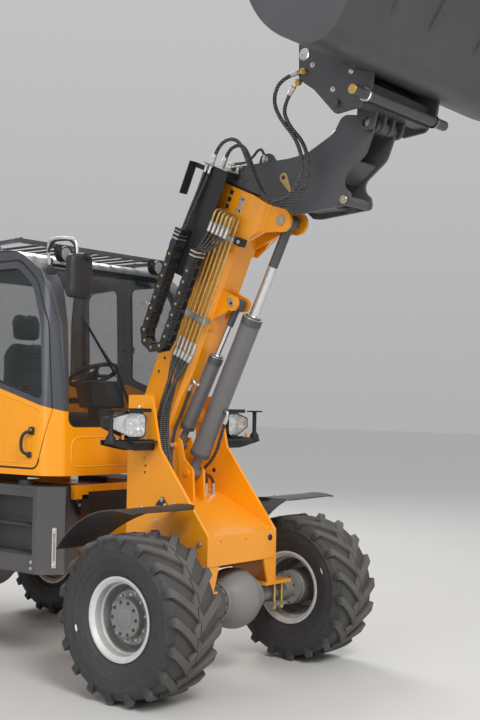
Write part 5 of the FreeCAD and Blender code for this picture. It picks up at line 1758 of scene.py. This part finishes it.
class LOADER_OT_cab_skin(bpy.types.Operator):
    """Fit the door seals, door handles, panel beads, grab rails and wiper."""
    bl_idname = "loader.cab_skin"
    bl_label = "Cab seals and handles"

    def execute(self, context):
        for side, name in ((-1, "right"), (1, "left")):
            cab_side(side, name)

        meet = skin_of("fixed_glass", "cab_tub", "cab_pillars", "cab_roof")

        def on_front(y, z, proud):
            return meet(at(-600, y, z), BACK, proud)

        front = Piece("seal")
        edge = rounded([(-528, 1517, 60), (528, 1517, 60), (528, 2584, 60), (-528, 2584, 60)], 6)
        front.tube([on_front(y, z, -3) for y, z in spaced(edge + edge[:1], 30)], 8, 8, False)
        front.use("paint")
        bead = rounded([(-500, 1262, 40), (500, 1262, 40), (500, 1452, 60), (-500, 1452, 60)], 6)
        front.tube([on_front(y, z, -4) for y, z in spaced(bead + bead[:1], 30)], 7, 10, False)
        front.made("windscreen_seal", "rear_frame", (), "rubber_mat")

        wiper = Piece("black")
        hub, mid, tip = on_front(60, 1545, 20), on_front(-130, 1905, 26), on_front(-280, 2080, 14)
        wiper.bar(on_front(60, 1545, -2), on_front(60, 1545, 34), 15)
        wiper.tube([hub, hub.lerp(mid, 0.3), mid], [9, 7, 5], 10)
        wiper.tube([hub + UP * 0.03, mid + UP * 0.025], 3.4, 8)
        blade = [on_front(-105 - 300 * t, 1850 + 385 * t, 9) for t in (i / 10 for i in range(11))]
        wiper.use("seal").tube(blade, 5, 6)
        wiper.use("black").tube([p + (on_front(-200, 1980, 12) - on_front(-200, 1980, 0))
            for p in blade[1:-1]], 4.5, 6)
        wiper.tube([mid, tip], 4, 8)
        wiper.made("windscreen_wiper", "rear_frame", (), "black_plastic")
        return {"FINISHED"}


class LOADER_OT_controls(bpy.types.Operator):
    """Fit the steering wheel's grip, the levers, pedals, side consoles and dash opening."""
    bl_idname = "loader.controls"
    bl_label = "Cab controls"

    def execute(self, context):
        lean = Vector((-math.sin(math.radians(25)), 0, math.cos(math.radians(25))))
        wheel = pose(at(-1245, 0, 1868), lean, LEFT)
        piece = Piece("seal")
        piece.turned(wheel, [(15.5 * math.sin(a), 170 + 15.5 * math.cos(a))
            for a in (math.tau * i / 14 for i in range(14))], 48, closed=True)
        piece.use("plastic").turned(wheel, [(4, 44), (12, 42), (18, 30), (20, 0)], 28)
        piece.spun(wheel @ Vector((0.12, 0.12, 0.016)), lean,
            [(0, 8), (14, 8), (18, 17), (40, 19), (48, 12), (50, 0)], 18)
        piece.made("steering_grip", "rear_frame", (), "black_plastic")

        desk = Piece("grip")
        desk.prism(side_view(-450, 1), rounded([(-1880, 1258, 10), (-1420, 1258, 40),
            (-1400, 1520, 60), (-1480, 1610, 40), (-1880, 1610, 20)]), -110, 70, 10)
        desk.prism(side_view(450, 1),
            rounded([(-1880, 1258, 10), (-1520, 1258, 40), (-1500, 1460, 60), (-1880, 1480, 20)]),
            -70, 110, 10)
        desk.use("seal").spun(at(-1500, -415, 1605), Vector((0.2, 0, 1)),
            [(0, 46), (14, 40), (18, 30), (30, 26), (36, 16), (44, 14), (50, 9)], 24)
        desk.use("plastic").tube([at(-1500, -415, 1650), at(-1492, -415, 1700),
            at(-1482, -414, 1740), at(-1474, -413, 1790)], [10, 15, 19, 15], 16)
        desk.use("amber").spun(at(-1473, -413, 1790), UP, [(0, 8), (5, 8), (6, 0)], 14)
        for y in (-480, -505):
            desk.use("silver").bar(at(-1560, y, 1600), at(-1550, y, 1668), 4)
            desk.use("seal").spun(at(-1550, y, 1662), UP,
                [(0, 6), (4, 11), (16, 12), (22, 8), (24, 0)], 16)
        # the dash opening is a near-black box: painted shade inside it
        desk.use("inside").prism(side_view(-70, -1), box_outline(-1232, 1700, -1120, 1786, 14),
            -136, -4, 4)
        desk.use("plastic")
        for x, y in ((-1030, -250), (-1030, -150), (-1030, 190)):
            matrix = pose(at(x, y, 1330), Vector((-0.85, 0, 0.5)), LEFT)
            desk.prism(matrix, box_outline(-34, -52, 34, 52, 10), -6, 6, 2)
            for k in range(-3, 4):
                desk.block((-30, k * 13 - 2, 6), (30, k * 13 + 2, 9), 1, matrix)
            desk.bar(at(x + 4, y, 1322), at(x + 38, y, 1262), 7)
        desk.made("cab_controls", "rear_frame", (), "black_plastic")
        return {"FINISHED"}


def mirror(piece, side):
    """One mirror: its shell, glass, ball joint and bent arm."""
    def ring(share):
        outline = rounded([(-702, 2335, 40), (-702, 2600, 40), (-520, 2620, 50), (-525, 2325, 50)],
            6)
        return [(-side * (-612 + (y + 612) * share), 2470 + (z - 2470) * share)
                for y, z in outline]

    # a crowned back, a rim and the glass that faces the driver
    for finish, levels in (("plastic", ((-722.5, 1.005), (-715, 0.98), (-707, 0.9),
                                        (-701, 0.72), (-698, 0.4))),
                           ("plastic", ((-722, 1.005), (-761, 1.01), (-768, 0.985),
                                        (-768, 0.93), (-763, 0.92))),
                           ("mirror", ((-763, 0.93), (-765, 0.9)))):
        piece.use(finish).skin([[at(x, y, z) for y, z in ring(share)] for x, share in levels])
    y = side * 583
    piece.use("seal").spun(at(-706, y, 2592), FORWARD,
        [(0, 27), (8, 26), (12, 16), (16, 20), (26, 23), (36, 18), (41, 8), (42, 0)], 24)
    piece.use("silver").bolt(at(-665, y, 2592), FORWARD, 13, 6, False)
    arm = [at(-965, side * 652, 2520), at(-960, side * 680, 2640), at(-948, side * 684, 2700),
        at(-860, side * 682, 2712), at(-790, side * 652, 2708), at(-742, side * 637, 2690),
        at(-736, side * 634, 2610), at(-735, side * 632, 2585)]
    piece.use("silver").run(arm, 10.5, 14, 10)
    piece.use("plastic").spun(at(-966, side * 652, 2500), UP,
        [(0, 19), (60, 17), (92, 14), (96, 11)], 20)


class LOADER_OT_mirrors(bpy.types.Operator):
    """Fit the mirror glasses, their backs' ball joints and the bent arms."""
    bl_idname = "loader.mirrors"
    bl_label = "Mirrors"

    def execute(self, context):
        piece = Piece("plastic")
        for side in (-1, 1):
            mirror(piece, side)
        piece.made("mirror_details", "rear_frame", (), "black_plastic")
        return {"FINISHED"}


# ---- lamps ----
LAMP_CASE = [(391, 1462, 40), (391, 1627, 46), (505, 1627, 46), (666, 1588, 18), (666, 1523, 18),
             (515, 1462, 46)]
LAMP_FRONT, LAMP_INNER = -338.0, 391       # the glass's front and its inner edge
LAMP_SWEEP = 0.183                         # how much it falls back outwards


def lamp_place(x, across, z, side):
    """A place on a headlight, behind its swept glass."""
    return at(LAMP_FRONT + x - (across - LAMP_INNER) * LAMP_SWEEP, across * side, z)


def stepped(piece, side, levels, ends=True):
    """Skins a headlight's form from its outline: levels are (back, drawn in)."""
    flat = [Vector((y, z, 0)) for y, z in rounded(LAMP_CASE)]
    return piece.skin([[lamp_place(x, p.x, p.y, side) for p in drawn_in(flat, inset)]
        for x, inset in levels], ends=ends)


def headlight(piece, side):
    """One headlight with its bracket, hood and marker post."""
    stepped(piece.use("plastic"), side,
        [(-92, 24), (-86, 9), (-66, 1), (-6, 1), (0, 5), (0, 9), (-6, 11), (-10, 11)], False)
    stepped(piece, side, [(-92, 24), (-91, 25)])
    stepped(piece.use("mirror"), side, [(-10, 11), (-46, 16), (-48, 20)], False)
    stepped(piece, side, [(-47, 16), (-50, 17)])
    lamp, flash = (lamp_place(-46, y, z, side) for y, z in ((462, 1546), (608, 1556)))
    piece.spun(lamp, FORWARD, [(-2, 60), (12, 58), (16, 52), (6, 40), (2, 22), (3, 0)], 32)
    piece.use("steel").spun(lamp, FORWARD, [(2, 11), (24, 10), (30, 6), (31, 0)], 18)
    piece.use("amber").spun(flash, FORWARD, [(-2, 25), (8, 23), (14, 15), (17, 0)], 24)
    stepped(piece.use("lens"), side, [(-5, 8), (-1, 9), (3, 14), (5.5, 21)])
    # the cap over the case, its front lip, the shelf and its pad
    piece.use("black")
    for low, high in (((-430, 362, 1638), (-326, 556, 1646)),
                      ((-333, 362, 1622), (-326, 556, 1646)),
                      ((-430, 333, 1448), (-326, 690, 1455)),
                      ((-420, 440, 1455), (-350, 560, 1464))):
        piece.block(low, high, side=side)
    for x in (-430, -333):
        piece.prism(front_view(x), [(y * side, z) for y, z in (
            (333, 1388), (333, 1455), (694, 1455), (694, 1424), (560, 1398),
            (500, 1388))][::side], 0, 7)
    piece.prism(top_view(1434.5), [(x, y * side) for x, y in rounded(
        [(-472, 334), (-298, 334), (-260, 381), (-260, 562, 15), (-331, 562, 15),
         (-421, 421, 30)])], 0, 13)
    piece.use("seal").spun(at(-350, side * 686, 1428), UP, [(0, 35), (3, 38), (12, 38), (16, 33),
        (36, 31), (50, 25), (60, 17), (66, 14), (196, 14), (200, 18), (202, 0)], 24)
    piece.block((-384, 640, 1628), (-316, 732, 1638), side=side)
    piece.use("silver").bolt(at(-380, side * 420, 1646), UP, 18, 12, True, 6)
    for y in (352, 600):
        piece.bolt(at(-380, side * y, 1455), UP, 15, 8)
    piece.use("amber").bar(at(-345, side * 590, 1455), at(-345, side * 590, 1486), 9)


def work_light(piece, y):
    """One round work light in its fork."""
    place = pose(at(-1140, y, 2650), FORWARD)
    piece.use("black").turned(place,
        [(0, 18), (6, 34), (24, 48), (84, 52), (90, 51), (90, 47), (84, 46)], 36)
    piece.use("mirror").turned(place, [(40, 8), (50, 28), (84, 46)], 32)
    piece.use("steel").turned(place, [(44, 9), (66, 8), (70, 0)], 14)
    piece.use("lens").turned(place, [(83, 46), (87, 42), (90, 26), (91, 0)], 32)
    piece.use("black").block((-1215, y - 20, 2700), (-1085, y + 20, 2707))
    for off in (-56, 56):
        piece.prism(side_view(y + off - 3 if off > 0 else y + off + 3, 1),
            rounded([(-1112, 2636, 10), (-1088, 2636, 10), (-1084, 2706), (-1116, 2706)]), -3, 3)
        piece.bolt(at(-1100, y + off, 2650), LEFT if off > 0 else RIGHT, 14, 6)
    piece.block((-1116, y - 58, 2700), (-1084, y + 58, 2706))


class LOADER_OT_headlights(bpy.types.Operator):
    """Fit the headlights: case, reflectors, ribbed glass, brackets and marker posts."""
    bl_idname = "loader.headlights"
    bl_label = "Headlights"

    def execute(self, context):
        piece = Piece("plastic")
        for side in (-1, 1):
            headlight(piece, side)
        piece.made("headlight_units", "front_frame", ["headlights"], "lamp_glass")

        piece = Piece("black")
        for y in (-440, 440):
            work_light(piece, y)
        piece.made("work_light_units", "rear_frame", ["work_lights"], "lamp_glass")

        piece = Piece("plastic")
        for side in (-1, 1):
            for finish, low, high in (("plastic", (-3100, 612, 1041), (-3060, 640, 1110)),
                                      ("plastic", (-3099, 611, 1099), (-3081, 700, 1181)),
                                      ("red", (-3111, 653, 1103), (-3097, 697, 1177)),
                                      ("amber", (-3111, 614, 1103), (-3097, 651, 1177))):
                piece.use(finish).block(low, high, 3, side=side)
            for y in (619, 692):
                piece.use("silver").bolt(at(-3110, side * y, 1140), BACK, 6, 3, False)
        piece.made("tail_light_units", "rear_frame", ["tail_lights"], "red_lens")
        return {"FINISHED"}


# ---- frame fittings ----
PLATE_Y = 333.0                            # the tower plates' outer faces
GUARD_R = 608.5                            # the front mudguards' outer radius
REAR_GUARD = (608.832, 609.0)              # how far the rear ones reach, along and up
TREAD_STUDS, TREAD_PITCH = (19, 4), (31.5, 32)     # along and across a step
REAR_SLATS, SLAT_PITCH = 13, 20.5
SIDE_LOUVRES, LOUVRE_PITCH = 11, 26


def on_guard(x, y, proud):
    """A place on a front mudguard's arch."""
    r = GUARD_R + proud
    return at(x, y, AXLE_Z + math.sqrt(r * r - x * x))


def flange(piece, place, way, radius=96 * 1.12):
    """A differential's bolted flange; the bolts stand on the radius."""
    ring = pose(place, way)
    piece.use("axle").turned(ring, [(0, 122), (16, 122), (20, 118), (20, 60)], 44)
    for k in range(12):
        piece.use("black").bolt(ring @ polar(radius, math.tau * k / 12, 19), way, 13, 8, False)


BUCKET_HEEL = (1395.0, 3450.0)
BUCKET_TILT = 57.0
BUCKET_HALF = 975.0


def guard_side(guard, side, way):
    """One front mudguard: edge beads, bolts and bracket."""
    # the edge beads take a lighter grey than the mudguard: a painted highlight along its edge
    for points in ([(-490, 966), (-490, 648), (-250, 434), (-120, 386), (40, 386)],
                   [(108, 966), (-490, 966)]):
        guard.use("grip").tube([on_guard(x, side * y, -3) for edge in zip(points, points[1:])
            for x, y in spaced(edge, count=14)], 5.2, 8)
    for x, y in ((-215, 470), (-128, 440), (-215, 640), (-128, 640), (-420, 640)):
        place = on_guard(x, side * y, -1)
        guard.use("silver").bolt(place, place - at(0, side * y, AXLE_Z), 17, 10)
    guard.use("black").prism(side_view(side * 335, -1 if side < 0 else 1),
        rounded([(-305, 1052, 4), (-198, 1052, 4), (-246, 1112, 10)]), 0, 8, 1)
    guard.block((-150, 340, 1054), (-112, 560, 1060), side=side)
    guard.bolts("silver",
        [(-247, side * 343, 1088, way, 18, 8), (-140, side * 343, 1072, way, 15, 7)])


def axle_side(piece, side, way):
    """One half of the axle: the flange of the differential and the bolts of the end."""
    # bolted flanges of the differential and of the axle's ends
    flange(piece, at(0, 50 + side * 150, AXLE_Z), way)
    end = pose(at(0, side * 602, AXLE_Z), way)
    for k in range(10):
        piece.use("black").bolt(end @ polar(92 * 1.12, math.tau * k / 10, -36), way * -1, 13,
            8, False)


def tower_side(piece, side, way):
    """One side plate of the tower: bolts, holes and the axle pin heads."""
    y = PLATE_Y * side
    piece.bolts("paint", [(-415, y, 1336, way, 19, 5), (-441, y, 1660, way, 24, 5)])
    piece.bolts("silver", [(63, y, 845, way, 24, 12), (-300, y, 955, way, 18, 9)])
    # holes: a near-black disc, painted shade, inside a painted ring
    for x, z in ((-404, 1249), (-398, 1290)):
        piece.use("inside").spun(at(x, y, z), way, [(-1, 8), (0.8, 8), (0.8, 0)], 20)
        piece.use("paint").spun(at(x, y, z), way, [(-1, 12), (1.4, 11), (1.4, 8), (-1, 7.5)], 20,
            closed=True)
    for x in (-60, 60):
        piece.use("steel").spun(at(x, y, 700), way, [(-1, 30), (5, 29), (6, 24), (6, 0)], 28)


class LOADER_OT_tower(bpy.types.Operator):
    """Bolt up the tower's plates, the axle clamps and the front mudguards."""
    bl_idname = "loader.tower"
    bl_label = "Tower and front axle fittings"

    def execute(self, context):
        piece = Piece("silver")
        for side, way in SIDES:
            tower_side(piece, side, way)
        piece.bolts("paint", [(124, y, z, FORWARD, 17, 7) for y, z in ((-212, 864), (27, 863))])
        piece.use("plastic").spun(at(124, 268, 843), FORWARD,
            [(-1, 20), (6, 19), (9, 14), (9, 0)], 28)
        # a near-black disc: painted shade in a hole
        piece.use("inside").spun(at(-389, 311, 1240), RIGHT, [(-1, 15), (0.6, 15), (0.6, 0)], 24)
        # studs of the clamps that hold the axle
        for x in (-85, 85):
            for side in (-1, 1):
                for y in (375, 450):
                    piece.use("brass").bar(at(x, side * y, 372), at(x, side * y, 556), 9.8, 14)
                    piece.bolt(at(x, side * y, 395), DOWN, 26, 16, True)
                    piece.bolt(at(x, side * y, 540), UP, 26, 14, True)
        piece.use("axle")
        for side, way in SIDES:
            axle_side(piece, side, way)
        piece.use("brass").bolt(at(130, 25, 560), Vector((0.7, 0, 0.6)), 22, 9)
        piece.bolt(at(0, -95, 600), Vector((0, -0.5, 0.8)), 18, 9)
        piece.made("tower_fittings", "front_frame", (), "zinc_plated_steel")

        guard = Piece("plastic")
        for side, way in SIDES:
            guard_side(guard, side, way)
        guard.made("front_guard_fittings", "front_frame", (), "zinc_plated_steel")
        return {"FINISHED"}


def tank_side(piece, side, way):
    """One tank box: gauge, filler cap, step treads, bolts and the mudguard's bolts."""
    out = Vector((0.683, 0.732 * side, 0))
    if side < 0:
        gauge = pose(at(-914, -614, 755), out, UP)
        piece.use("silver").prism(gauge, box_outline(-127, -15, 127, 15, 3), -1, 5, 1.5)
        # the slot behind the glass is near-black: painted shade of the gauge's inside
        piece.use("inside").prism(gauge, box_outline(-84, -5, 94, 5, 4), 4.2, 5.6)
        piece.use("lens").prism(gauge, box_outline(-84, -4, 94, 4, 3), 5.4, 8, 1)
        for up in (-108, 110):
            piece.use("steel").bolt(gauge @ (Vector((up, 0, 5)) / 1000), out, 11, 4)
    piece.use("plastic").spun(at(-1180, side * 630, 1136), UP,
        [(0, 52), (8, 52), (12, 46), (30, 44), (36, 38), (36, 0)], 32)
    # grip ribs round the filler cap
    for k in range(12):
        a = math.tau * k / 12
        x, y = -1180 + 44 * math.cos(a), side * 630 + 44 * math.sin(a)
        piece.bar(at(x, y, 1148), at(x, y, 1168), 3, 8)
    for z, y0, y1 in ((700, 548, 690), (884, 560, 690)):
        low = min(side * y0, side * y1)
        piece.use("grip").block((-1638, y0, z), (-1042, y1, z + 6), side=side)
        for i in range(TREAD_STUDS[0]):
            for j in range(TREAD_STUDS[1]):
                spot = at(-1626 + i * TREAD_PITCH[0] + (j % 2) * 10,
                          low + 18 + j * TREAD_PITCH[1], z + 6)
                piece.spun(spot, UP, [(-1, 7), (2, 6), (4, 4), (4, 2.5), (1, 2)], 8)
    piece.bolts("silver",
        [(x, side * 690, z, way, 15, 7) for x in (-1725, -1045) for z in (620, 660)])
    piece.use("dark")
    for z in (596, 1120):
        piece.tube([at(-1752, side * 688, z), at(-1010, side * 688, z),
                    at(-880, side * 570, z)], 5, 8)
    piece.bolts("silver", [(-WHEELBASE + x, side * 640, 1074, UP, 17, 9) for x in (-14, 14)])
    piece.bolts("silver", [(-938, side * 384, z, way, 18, 9) for z in (1012, 1068)])
    piece.use("plastic").spun(at(-915, side * 424, 1020), UP,
        [(0, 10), (10, 12), (22, 15), (34, 9), (36, 0)], 18)


class LOADER_OT_tanks(bpy.types.Operator):
    """Fit the level gauge, filler, step treads and rear mudguard bolts."""
    bl_idname = "loader.tanks"
    bl_label = "Tanks and steps"

    def execute(self, context):
        piece = Piece("silver")
        for side, way in SIDES:
            tank_side(piece, side, way)
        piece.made("tank_fittings", "rear_frame", (), "zinc_plated_steel")
        return {"FINISHED"}


class LOADER_OT_bucket(bpy.types.Operator):
    """Add the bucket's wear plates, ribs, edge bolts and weld beads."""
    bl_idname = "loader.bucket"
    bl_label = "Bucket details"

    def execute(self, context):
        angle = math.radians(BUCKET_TILT)
        floor = Vector((math.cos(angle), 0, math.sin(angle)))
        up = Vector((-floor.z, 0, floor.x))

        def inside(along, across, high):
            return at(BUCKET_HEEL[0], across, BUCKET_HEEL[1]) + (floor * along + up * high) / 1000

        def plate(finish, across, outline, low, high, side):
            """A plate flat against the bucket's side; its outline is (along, high)."""
            turn = Matrix((floor, up, LEFT * side)).transposed().to_4x4()
            matrix = Matrix.Translation(inside(0, across, 0)) @ turn
            piece.use(finish).prism(matrix, rounded(outline), low, high, 1.5)

        piece = Piece("dark")
        for side in (-1, 1):
            plate("dark", side * (BUCKET_HALF - 3.5),
                [(842, 26, 10), (866, 34, 6), (236, 736, 8), (206, 716, 10)], -2, 3, side)
            plate("black", side * (BUCKET_HALF - 3.5),
                [(520, 8, 10), (830, 8, 10), (770, 90, 20), (520, 70, 20)], -2, 3.4, side)
            for along, high in ((560, 40), (690, 44), (790, 34)):
                piece.use("silver").bolt(inside(along, side * (BUCKET_HALF - 2), high),
                    LEFT * side, 16, 1.6, False)
            piece.use("dark").tube([inside(150 + 80 * t, side * (BUCKET_HALF - 16), 742 - 80 * t)
                for t in range(9)], 5, 8)
        for across in range(-840, 841, 210):
            # plough bolts' heads and nuts through the cutting edge
            piece.use("steel").spun(inside(800, across, 18.5), up,
                [(0, 15), (1.6, 14), (2, 9), (0.6, 8), (0.6, 0)], 20)
            piece.use("silver").bolt(inside(800, across, 1.5), up * -1, 22, 1.5, False)
        # stiffening ribs under the floor, and the weld beads of the cutting edge
        for across in (-620, -250, 250, 620):
            plate("dark", across, [(300, -14, 4), (640, -14, 4), (690, 1), (240, 1)], -6, 6, 1)
        for high in (21.5, -1):
            piece.tube([inside(700, y, high) for y in (-960, -480, 0, 480, 960)], 3, 8)
        piece.made("bucket_details", "carrier", (), "dark_grey_paint")

        fit = Piece("steel")
        for side in (-1, 1):
            way = LEFT * side
            fit.use("steel").spun(at(806, side * 358, 3650), way,
                [(-1, 36), (7, 35), (9, 31), (9, 12), (6, 10), (6, 0)], 32)
            fit.spun(at(1216, side * 360, 3357), way, [(-1, 40), (8, 39), (10, 34), (10, 30)], 32,
                closed=True)
            fit.use("brass").spun(at(1216, side * 488, 3357), way, [(0, 29), (3, 26), (3, 0)], 28)
            fit.bolts("silver", [(x, side * 360, z, way, 20, 9)
                for x, z in ((860, 3580), (1000, 3420), (1120, 3500))])
        fit.made("carrier_fittings", "carrier", (), "machined_steel")
        return {"FINISHED"}


def hood_side(hood, side):
    """One side of the hood: louvres, their frame, latches and the lower seal."""
    meet = skin_of("hood")
    way = LEFT * side

    def panel(x, z, proud):
        return meet(at(x, side * OUTSIDE, z), way * -1, proud)

    for k in range(SIDE_LOUVRES):
        z = 1180 + k * LOUVRE_PITCH
        hood.use("black").tube([panel(x, z, 1) for x in range(-2960, -2459, 50)], 7, 8)
        hood.use("paint").tube([panel(x, z + 12, -1.5) for x in range(-2970, -2449, 52)], 5, 8)
    frame = rounded([(-2990, 1158, 20), (-2430, 1158, 20), (-2430, 1468, 20), (-2990, 1468, 20)],
        4)
    hood.use("paint").tube([panel(x, z, -3) for x, z in spaced(frame + frame[:1], count=8)], 9,
        8, False)
    for x in (-2250, -3130):
        place = panel(x, 1130, 0)
        hood.use("plastic").prism(pose(place, way, FORWARD), box_outline(-34, -14, 34, 14, 8),
            -2, 10, 3)
        hood.use("silver").spun(place + way * 0.009, way, [(0, 9), (3, 9), (4, 6), (4, 0)], 18)
    hood.use("seal").tube([panel(x, 1066, 2) for x in range(-3180, -2139, 65)], 7, 8)


class LOADER_OT_rear(bpy.types.Operator):
    """Fit the hood's grilles and latches, the exhaust, the counterweight and the tow pin."""
    bl_idname = "loader.rear"
    bl_label = "Hood, exhaust and tail"

    def execute(self, context):
        hood = Piece("black")
        for k in range(REAR_SLATS):
            z = 1142 + k * SLAT_PITCH
            hood.prism(side_view(0, 1), [(-3331, z), (-3322, z + 2), (-3306, z + 14),
                (-3306, z + 16), (-3324, z + 6), (-3331, z + 4)], -322, 322)
        for side in (-1, 1):
            hood_side(hood, side)
        for y in (-420, 420):
            hood.use("steel").bar(at(-2140, y - 52, 1745), at(-2140, y + 52, 1745), 13.5)
        hood.use("plastic").run([at(-3336, -90, 1440), at(-3352, -84, 1446), at(-3362, 0, 1448),
            at(-3352, 84, 1446), at(-3336, 90, 1440)], 9, 12, 6)
        pipe = pose(at(-2560, -380, 1700), UP)
        hood.use("black").turned(pipe, [(28, 54), (34, 56), (46, 56), (52, 52)], 32, closed=True)
        for z in (1762, 1900):
            hood.use("silver").spun(at(-2560, -380, z), UP, [(0, 34), (0, 36), (14, 36), (14, 34)],
                32, closed=True)
            hood.bolt(at(-2560, -420, z + 7), RIGHT, 13, 8, False, 8)
        tip = pose(at(-2678, -380, 2058.7), Vector((-0.832, 0, 0.555)))
        hood.use("black").turned(tip, [(-20, 33), (3, 34), (4, 31), (3, 27), (-20, 26)], 32,
            closed=True)
        # a near-black disc in the pipe's mouth: painted shade inside it
        hood.use("inside").turned(tip, [(-14, 27), (-13, 0)], 24)
        hood.made("hood_fittings", "hood", (), "black_steel")

        tail = Piece("silver")
        for y in (-560, -440, 440, 560):
            spot = at(-3425 if abs(y) < 480 else -3369, y, 960)
            way = BACK if abs(y) < 480 else Vector((-0.745, 0.667 * (1 if y > 0 else -1), 0))
            tail.use("steel").bolt(spot, way, 34, 12)
        for y in (-180, 180):
            tail.use("dark").tube(
                [at(-3200, y - 34, 1038), at(-3200, y - 34, 1070), at(-3200, y - 20, 1086),
                at(-3200, y + 20, 1086), at(-3200, y + 34, 1070), at(-3200, y + 34, 1038)], 11, 12)
        tail.use("steel").bar(at(-3400, 0, 596), at(-3400, 0, 792), 15.6, 24, 3)
        tail.use("black").tube(
            [at(-3400, 0, 788), at(-3400, 0, 812), at(-3400, 22, 834), at(-3400, 60, 836)], 8, 12)
        for z in (726, 600):
            for y in (-88, 88):
                tail.use("silver").bolt(at(-3345, y, z), BACK, 20, 10)
        for side, way in SIDES:
            for degrees in (45, 85, 95, 138):
                way_out = Vector(
                    (math.cos(math.radians(degrees)), 0, math.sin(math.radians(degrees))))
                tail.use("silver").bolt(at(-WHEELBASE + REAR_GUARD[0] * way_out.x, side * 700,
                    AXLE_Z + REAR_GUARD[1] * way_out.z), way_out, 16, 8)
            flange(tail, at(-WHEELBASE, 40 + side * 150, AXLE_Z), way, 108)
        for side in (-1, 1):
            tail.bolts("black", [(x, side * 690, 2734, UP, 18, 7) for x in (-1545, -1215)])
        tail.made("tail_fittings", "rear_frame", (), "machined_steel")
        return {"FINISHED"}


# ---- stage ----
SKY_LEVELS = (0.44, 0.66)      # radiance at the horizon and overhead
# name, place, width in metres, watts and colour
STUDIO_LAMPS = (("key", (8.5, -4.5, 9.0), 4.0, 900, (1.0, 0.97, 0.92)),
    ("fill", (2.0, -9.0, 4.0), 6.0, 200, (0.95, 0.97, 1.0)),
    ("rim", (-7.0, 5.0, 8.0), 5.0, 520, (1.0, 0.98, 0.95)))
LAMP_AIM = Vector((0.6, 0, 1.6))
CAMERA_PLACE = (5.279, -5.377, 1.684)
CAMERA_TURNS = (39.41, 2.24, 0.93)         # degrees: turned left, tilted up, rolled
FLOOR_HALF = 60


class LOADER_OT_stage(bpy.types.Operator):
    """Lay the pale floor, hang the soft lamps and set up the camera."""
    bl_idname = "loader.stage"
    bl_label = "Floor, lamps and camera"

    def execute(self, context):
        scene = context.scene
        piece = Piece()
        sides = (-FLOOR_HALF, FLOOR_HALF)
        piece.skin([[Vector((x, y, -0.001)) for x in sides] for y in sides], around=False,
                   ends=False)
        floor = piece.made("floor", None)
        floor.data.materials.clear()
        floor.data.materials.append(floor_paint("pale_floor"))
        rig.stage(floor)

        world = bpy.data.worlds.new("studio")
        scene.world = world
        world.use_nodes = True
        tree = world.node_tree
        sky = tree.nodes["Background"]
        way, rise = tree.nodes.new("ShaderNodeTexCoord"), tree.nodes.new("ShaderNodeSeparateXYZ")
        ramp = tree.nodes.new("ShaderNodeValToRGB")
        for element, place, level in zip(ramp.color_ramp.elements, (0.0, 0.75), SKY_LEVELS):
            element.position, element.color = place, (level, level, level * 1.02, 1)
        tree.links.new(way.outputs["Generated"], rise.inputs[0])
        tree.links.new(rise.outputs["Z"], ramp.inputs["Fac"])
        tree.links.new(ramp.outputs["Color"], sky.inputs["Color"])
        sky.inputs["Strength"].default_value = 1.0
        for name, place, size, power, colour in STUDIO_LAMPS:
            data = bpy.data.lights.new(name, "AREA")
            data.shape, data.size, data.energy, data.color = "DISK", size, power, colour
            lamp = bpy.data.objects.new(name, data)
            lamp.location = place
            aim = LAMP_AIM - Vector(place)
            lamp.rotation_euler = aim.to_track_quat("-Z", "Y").to_euler()
            scene.collection.objects.link(lamp)

        data = bpy.data.cameras.new("camera")
        data.sensor_width, data.sensor_fit = 36.0, "AUTO"
        data.lens = scene.loader_sizes.lens
        data.clip_start, data.clip_end = 0.1, 200.0
        camera = bpy.data.objects.new("camera", data)
        turn, pitch, roll = (math.radians(degrees) for degrees in CAMERA_TURNS)
        level = Vector((-math.sin(turn), math.cos(turn), 0))
        ahead = level * math.cos(pitch) + UP * math.sin(pitch)
        right = Vector((math.cos(turn), math.sin(turn), 0))
        up = right.cross(ahead)
        right, up = (right * math.cos(roll) + up * math.sin(roll),
                     up * math.cos(roll) - right * math.sin(roll))
        camera.matrix_world = (Matrix.Translation(CAMERA_PLACE)
            @ Matrix((right, up, -ahead)).transposed().to_4x4())
        scene.collection.objects.link(camera)
        scene.camera = camera
        scene.view_settings.view_transform = "Standard"
        return {"FINISHED"}


class LOADER_PT_panel(bpy.types.Panel):
    """Lists the loader's settings and the steps that build it."""
    bl_label = "Telescopic Loader"
    bl_space_type = "VIEW_3D"
    bl_region_type = "UI"
    bl_category = "Loader"

    def draw(self, context):
        column = self.layout.column()
        for group in (context.scene.loader_colours, context.scene.loader_sizes):
            for key in group.bl_rna.properties.keys():
                if key not in ("rna_type", "name"):
                    column.prop(group, key)
        for step in STEPS:
            column.operator(step.bl_idname)


STEPS = [cls for name, cls in list(globals().items()) if name.startswith("LOADER_OT_")]
CLASSES = [LoaderColours, LoaderSizes, *STEPS, LOADER_PT_panel]


def register():
    for cls in CLASSES:
        bpy.utils.register_class(cls)
    bpy.types.Scene.loader_colours = PointerProperty(type=LoaderColours)
    bpy.types.Scene.loader_sizes = PointerProperty(type=LoaderSizes)


def unregister():
    del bpy.types.Scene.loader_colours
    del bpy.types.Scene.loader_sizes
    for cls in reversed(CLASSES):
        bpy.utils.unregister_class(cls)


def main():
    register()
    for step in STEPS:
        family, name = step.bl_idname.split(".")
        getattr(getattr(bpy.ops, family), name)()
    built = [list(corner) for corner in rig.bounds()]
    with open("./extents.json", "w") as file:
        json.dump({"cad": CAD_BOX, "visual": built}, file, indent=1)


if __name__ == "__main__":
    main()
